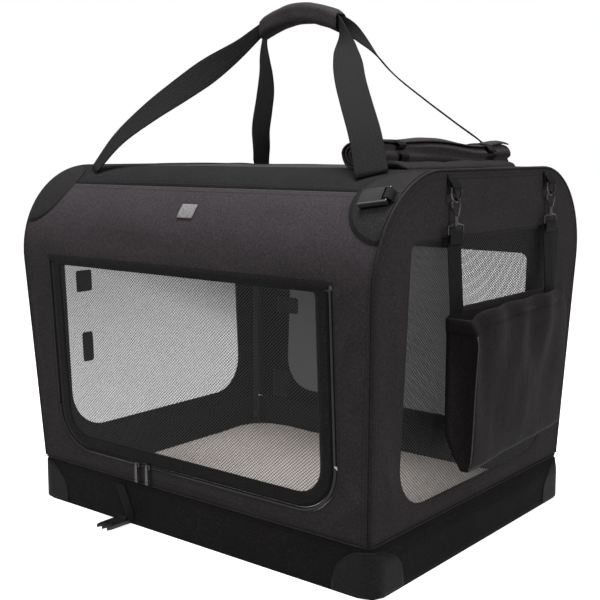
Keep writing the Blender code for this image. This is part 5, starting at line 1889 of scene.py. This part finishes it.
@dataclass
class PouchSide:
    """Tabs, straps and the hanging pouch; its rings, hooks and eyes are carried from the frame."""

    ring_z: float = 0.592
    ring_x: float = 0.404322
    ring_height: float = 0.0205
    ring_wire: float = 0.00175
    hook_wire: float = 0.0020
    hook_throat: float = 0.0066
    hook_drop: float = 0.027
    eye_drop: float = 0.0174
    eye_wire: float = 0.0016
    places: tuple[float, float] = (-0.140, 0.176)
    tab_width: float = 0.024
    tab_seat: float = 0.0195
    wrap_gap: float = 0.0006
    strap_width: float = 0.038
    slant: float = 0.008
    front: float = -0.156
    rear: float = 0.208
    low: float = 0.170
    top: float = 0.412
    depth: float = 0.052
    rear_share: float = 0.42
    wall: float = 0.0015
    piping: float = 0.0011
    pleat: float = 0.008
    droop_depth: float = 0.012
    belly: float = 0.0040
    slack: float = 0.0060
    hem: float = 0.021
    sheet: Flat = (0.84, 0.29)
    columns: tuple[int, int, int] = (15, 6, 37)

    def arc(self, y: float, z: float, wire: float, turns: Sequence[float]) -> list[Vector]:
        """Webbing's middle line round a wire.

        Args:
            y: Place along Y.
            z: Height of the wire's middle.
            wire: Radius of the wire.
            turns: Angles round it.

        Returns:
            The points.
        """
        radius = wire + self.wrap_gap + PLY / 2
        return [Vector((self.ring_x + radius * math.cos(turn), y, z + radius * math.sin(turn)))
                for turn in turns]

    def build_tab(self, end: str, y: float) -> None:
        """Builds one folded tab round its ring.

        Args:
            end: Front or rear, as it is named.
            y: Its place along Y.
        """
        high = self.ring_z + self.tab_seat
        wall = SHELL.half_length(high) + GAP + PLY / 2
        outer = wall + PLY + self.wrap_gap
        path = [Vector((wall, y, high)), Vector((wall + 0.0003, y, self.ring_z + 0.0117)),
                *self.arc(y, self.ring_z, self.ring_wire, spread(math.pi, TURN, 9)),
                Vector((outer + 0.0006, y, self.ring_z + 0.0121)), Vector((outer, y, high))]
        mesh = webbing_mesh(path, Vector((0, 1, 0)), self.tab_width, PLY)
        put("ring_tab_" + end, mesh, Paint.WEBBING, "pouch_tabs", Slot.WEBBING, ["tab_" + end])

    def build_strap(self, end: str, y: float) -> None:
        """Builds one strap from the pouch round its eye.

        Args:
            end: Front or rear, as it is named.
            y: Its place along Y.
        """
        throat = self.hook_throat - self.hook_wire - self.ring_wire - GAP
        bar = self.ring_z - self.ring_height - throat - self.hook_drop - GAP - self.eye_drop
        radius = self.eye_wire + self.wrap_gap + PLY / 2
        path = [Vector((self.ring_x, y + self.slant, z)) for z in spread(self.top - 0.040, self.top, 4)]
        high = Vector((self.ring_x - radius, y, bar))
        path.extend(path[3].lerp(high, share) for share in spread(0.15, 0.9, 6))
        path.extend(self.arc(y, bar, self.eye_wire, spread(math.pi, 0, 9)))
        path.append(Vector((self.ring_x + radius * 0.6, y, bar - radius * 5)))
        mesh = webbing_mesh(path, Vector((0, 1, 0)), self.strap_width, PLY)
        put("strap_" + end, mesh, Paint.WEBBING, "pouch", Slot.WEBBING, ["pouch_strap_" + end], self.ring_z)

    def taper(self, y: float) -> float:
        """Share of the pouch's depth at a place along it: less towards its rear end."""
        return self.rear_share + (1 - self.rear_share) * (self.rear - y) / (self.rear - self.front)

    def droop(self, point: Vector, share: float) -> float:
        """How far the pouch's top corners hang below its mouth."""
        near = bell(point.y, self.front, 0.022) + bell(point.y, self.rear, 0.026)
        return self.droop_depth * near * ease((share - 0.55) / 0.45)

    def section(self, z: float) -> list[Vector]:
        """Outline of the pouch at a height: back, folded rear end, slack front and folded front end.

        Args:
            z: The height.

        Returns:
            As many points at every height.
        """
        share = (z - self.low) / (self.top - self.low)
        marks = (0.0, 0.04, 0.10, 0.22, 0.50, 0.84, 0.94, 1.0)
        back = self.ring_x - PLY / 2 - GAP - self.wall
        keel, reach = (self.depth * float(np.interp(share, marks, shares)) for shares in (
            (0.56, 0.44, 0.26, 0.0, 0.0, 0.0, 0.0, 0.0), (0.78, 0.87, 0.90, 0.93, 0.99, 1.08, 1.02, 0.88)))
        behind, aside, ahead = self.columns
        points = [Vector((back + keel * self.taper(y), y, z)) for y in spread(self.front, self.rear, behind)]
        pleat = self.pleat * math.sin(math.pi * min(1.0, share * 1.05))
        steps = spread(1 / (aside + 1), aside / (aside + 1), aside)
        for along in steps:
            depth = (keel + (reach - keel) * along) * self.taper(self.rear)
            points.append(Vector((back + depth, self.rear - 0.7 * pleat * math.sin(math.pi * along), z)))
        for along, y in zip(spread(0, 1, ahead), spread(self.rear, self.front, ahead)):
            held = math.sin(math.pi * along)
            fold = 0.0042 * math.sin(along * 21 + share * 3.4) * held * (0.25 + 0.75 * share**2)
            fold += 0.0022 * math.sin(along * 9 - share * 7.5) * held
            fold += 0.0075 * soft(y * 15, z * 8, 3.0) * (0.25 + 0.75 * held)
            fold += self.belly * held - self.slack * bell(along, 0.86 + 0.10 * share, 0.045) * share
            points.append(Vector((back + reach * self.taper(y) + fold, y, z)))
        for along in steps[::-1]:
            depth = (keel + (reach - keel) * along) * self.taper(self.front)
            points.append(Vector((back + depth, self.front + pleat * math.sin(math.pi * along), z)))
        return [Vector((p.x, p.y, p.z - self.droop(p, share))) for p in points]

    def build_pouch(self) -> None:
        """Builds the pouch with its open mouth."""
        heights = [*spread(self.low, self.low + 0.02, 5), *spread(self.low + 0.03, self.top, 22)]
        rows = [self.section(z) for z in heights]
        count = len(rows[0])
        flat, seam = [], []
        for z, row in zip(heights, rows):
            flat.extend((float(along), z) for along in runs(np.array(row)))
            seam.extend([self.top - z] * count)
        faces = grid_faces(len(rows), count)
        faces.append(list(range(count))[::-1])
        mesh = make_mesh([point for row in rows for point in row], faces, flat, seam=seam,
                         run=[along for along, _ in flat])
        if mesh.polygons[len(mesh.polygons) // 2 + 30].normal.x < 0:
            mesh.flip_normals()
        piece = put("pouch_bag", mesh, Paint.POUCH, "pouch", Slot.SHELL, ["pouch"], self.ring_z, self.wall)

    def build_hem(self) -> None:
        """Builds the folded band round the pouch's mouth and the piping along its front edges."""
        mouth = self.section(self.top - 0.0015)
        middle = sum(mouth, Vector()) / len(mouth)
        rings = []
        for drop, out in ((self.hem, 0.0004), (self.hem, 0.0016), (0.0, 0.0018), (-0.0022, 0.0004),
                          (0.0, -0.0022)):
            rings.append([])
            for point in self.section(self.top - max(drop, 0.0015)):
                away = Vector((point.x - middle.x, (point.y - middle.y) * 0.25, 0)).normalized()
                rings[-1].append(Vector((point.x, point.y, point.z - min(drop, 0.0))) + away * out)
        mesh = loft(rings, [(p.y, p.z) for ring in rings for p in ring], closed=True)
        put("pouch_hem", mesh, Paint.POUCH, "pouch", Slot.SHELL, (), self.ring_z)
        behind, aside, ahead = self.columns
        rear_edge = behind + aside
        front_edge = rear_edge + ahead - 1
        sections = [self.section(z) for z in spread(self.low + 0.004, self.top - 0.024, 26)]
        path = [*(row[front_edge] for row in sections[::-1]), *sections[0][front_edge - 1:rear_edge:-1],
                *(row[rear_edge] for row in sections)]
        put("pouch_cord", tube_mesh(path, self.piping, 8), Paint.SEAM, "pouch", Slot.DARK, (), self.ring_z)

    def build(self) -> None:
        """Builds the tabs, straps and pouch."""
        for end, y in zip(("front", "rear"), self.places):
            self.build_tab(end, y)
            self.build_strap(end, y)
        self.build_pouch()
        self.build_hem()


@dataclass
class BuckleStraps:
    """Webbing of the closing buckle's two halves."""

    width: float = 0.021
    bar_half: float = 0.0025
    prong_half: float = 0.003
    wrap_gap: float = 0.0006
    corner_turn: float = math.radians(50)
    corner_slant: float = math.radians(12)
    corner_reach: float = 0.009
    corner_inset: float = 0.007
    closing_x: float = -0.1375
    closing_slant: float = 0.022
    closing_top: float = 0.066
    closing_face: float = 0.308
    closing_foot: float = 0.0065
    closing_bend: float = 0.0065

    def build_corner(self) -> None:
        """Builds the webbing of the socket half, at the near top corner."""
        turn, slant = self.corner_turn, self.corner_slant
        depth, z = SHELL.outline(SHELL.shoulder_distance(turn))
        out = Vector((0, -math.cos(turn), math.sin(turn)))
        down = Vector((0, -math.sin(turn), -math.cos(turn)))
        along = Vector((-1, 0, 0)) * math.cos(slant) + down * math.sin(slant)
        start = Vector((SHELL.half_length(z) - self.corner_inset, -depth, z))
        reach, seat = self.corner_reach, GAP + PLY / 2
        bar = reach + self.bar_half
        wrap = math.hypot(self.bar_half, self.bar_half) + self.wrap_gap + PLY / 2
        local = [(0.0, seat), (0.005, seat), (reach, seat)]
        local.extend((bar + wrap * math.cos(t), seat + wrap + wrap * math.sin(t))
                     for t in spread(-math.pi * 0.5, math.pi * 0.85, 12))
        local.append((reach * 0.35, seat + PLY + self.wrap_gap))
        mesh = webbing_mesh([start + along * a + out * b for a, b in local], out.cross(along), self.width,
                            PLY)
        put("corner_webbing", mesh, Paint.WEBBING, "corner_tab", Slot.WEBBING, ["corner_tab"])

    def build_closing(self) -> None:
        """Builds the webbing of the pronged half, from the base band down to the floor."""
        x, foot, bend = self.closing_x, self.closing_foot, self.closing_bend
        face = self.closing_face + GAP + PLY / 2
        bar = face + bend * 2 + self.bar_half
        wrap = math.hypot(self.bar_half, self.prong_half) + self.wrap_gap + PLY / 2
        sides = spread(x - self.closing_slant, x, 6)
        heights = spread(self.closing_top, foot + bend * 2, 6)
        path = [(side, -face, z) for side, z in zip(sides, heights)]
        path.extend((x, -(face + bend * (1 - math.cos(turn))), foot + bend * (1 - math.sin(turn)) - PLY / 2)
                    for turn in spread(0, math.pi / 2, 7)[1:])
        path.extend((x, -(bar + wrap * math.cos(turn)), foot + wrap + wrap * math.sin(turn) - PLY / 2)
                    for turn in spread(-math.pi / 2, math.pi * 0.8, 12))
        path.append((x, -(face + bend), foot + wrap * 0.9))
        mesh = webbing_mesh([Vector(point) for point in path], Vector((1, 0, 0)), self.width, PLY)
        put("closing_webbing", mesh, Paint.WEBBING, "closing_strap", Slot.WEBBING, ["closing_strap"])

    def build(self) -> None:
        """Builds both."""
        self.build_corner()
        self.build_closing()


@dataclass
class Hardware:
    """The frame's own hard nodes, which keep their shape and get their finish."""

    nodes: dict[str, bpy.types.Object]

    def paint_of(self, name: str) -> Paint:
        """Finish of a hard node by what it is.

        Args:
            name: The node's name.

        Returns:
            Its finish.
        """
        for starts, paint in ((("base_frame", "left_hoop", "right_hoop"), Paint.STEEL),
                              (("fitting", "corner_buckle", "closing_buckle"), Paint.PLASTIC),
                              (("floor_board",), Paint.BOARD)):
            if name.startswith(starts):
                return paint
        return Paint.NICKEL

    def build(self) -> None:
        """Paints every node that still shows."""
        for name, node in self.nodes.items():
            if node.hide_render:
                continue
            material = self.paint_of(name).material
            if not node.material_slots:
                node.data.materials.append(material)
            for slot in node.material_slots:
                slot.link = "OBJECT"
                slot.material = material
            log.info("%s keeps its shape in %s", name, material.name)


@dataclass
class Studio:
    """Floor, backdrop, lamps, world and the camera at the photograph's angle."""

    place: tuple[float, float, float] = (1.1815, -1.4706, 0.6469)
    yaw: float = math.radians(-38.87)
    pitch: float = math.radians(8.27)
    lens: float = 61.91
    sensor: float = 36.0
    floor_size: float = 14.0
    aim: tuple[float, float, float] = (0.0, 0.0, 0.3)
    lamps: tuple[tuple[str, tuple[float, float, float], float, float], ...] = (
        ("key", (-1.4, -2.6, 2.8), 1.8, 48.0), ("fill", (3.0, -0.8, 2.2), 1.8, 42.0),
        ("top", (0.1, -0.1, 3.4), 1.5, 96.0))

    def build_camera(self) -> None:
        """Sets the camera."""
        data = bpy.data.cameras.new("camera")
        data.lens = self.lens
        data.sensor_width = self.sensor
        data.clip_end = 60
        camera = link("camera", data)
        camera.location = self.place
        camera.rotation_euler = (math.pi / 2 - self.pitch, 0, -self.yaw)
        bpy.context.scene.camera = camera

    def build_floor(self) -> None:
        """Builds the pale floor."""
        mesh = bpy.data.meshes.new("studio_floor")
        rework(mesh, lambda bm: bmesh.ops.create_grid(bm, x_segments=2, y_segments=2, size=self.floor_size))
        mesh.materials.append(Paint.FLOOR.material)
        link("studio_floor", mesh)

    def build_light(self) -> None:
        """Builds the soft lamps and a world that is white to the camera."""
        world = bpy.data.worlds.new("studio")
        bpy.context.scene.world = world
        world.use_nodes = True
        graph = Graph(world.node_tree)
        rays = graph.add("ShaderNodeLightPath").outputs
        seen = graph.maths("MAXIMUM", rays["Is Camera Ray"], rays["Is Transmission Ray"])
        graph.fill(world.node_tree.nodes["Background"], Color=(1, 1, 1, 1),
                   Strength=graph.maths("MULTIPLY_ADD", seen, 0.82, 0.18))
        for name, place, size, power in self.lamps:
            data = bpy.data.lights.new(name, "AREA")
            data.shape = "DISK"
            data.size = size
            data.energy = power
            lamp = link(name, data)
            lamp.location = place
            lamp.rotation_euler = (Vector(self.aim) - Vector(place)).to_track_quat("-Z", "Y").to_euler()

    def build(self) -> None:
        """Builds the studio."""
        self.build_camera()
        self.build_floor()
        self.build_light()
        bpy.context.scene.view_settings.view_transform = "Standard"


def main() -> None:
    """Builds the crate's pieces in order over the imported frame."""
    logging.basicConfig(level=logging.INFO, format="%(message)s")
    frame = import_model()
    Studio().build()
    for part in (Base(), Mat(), LongWalls(), EndWalls(), Roof(), Zip(), Patches(), Carrying(), PouchSide(),
                 BuckleStraps()):
        part.build()
    Hardware(frame["nodes"]).build()


if __name__ == "__main__":
    main()
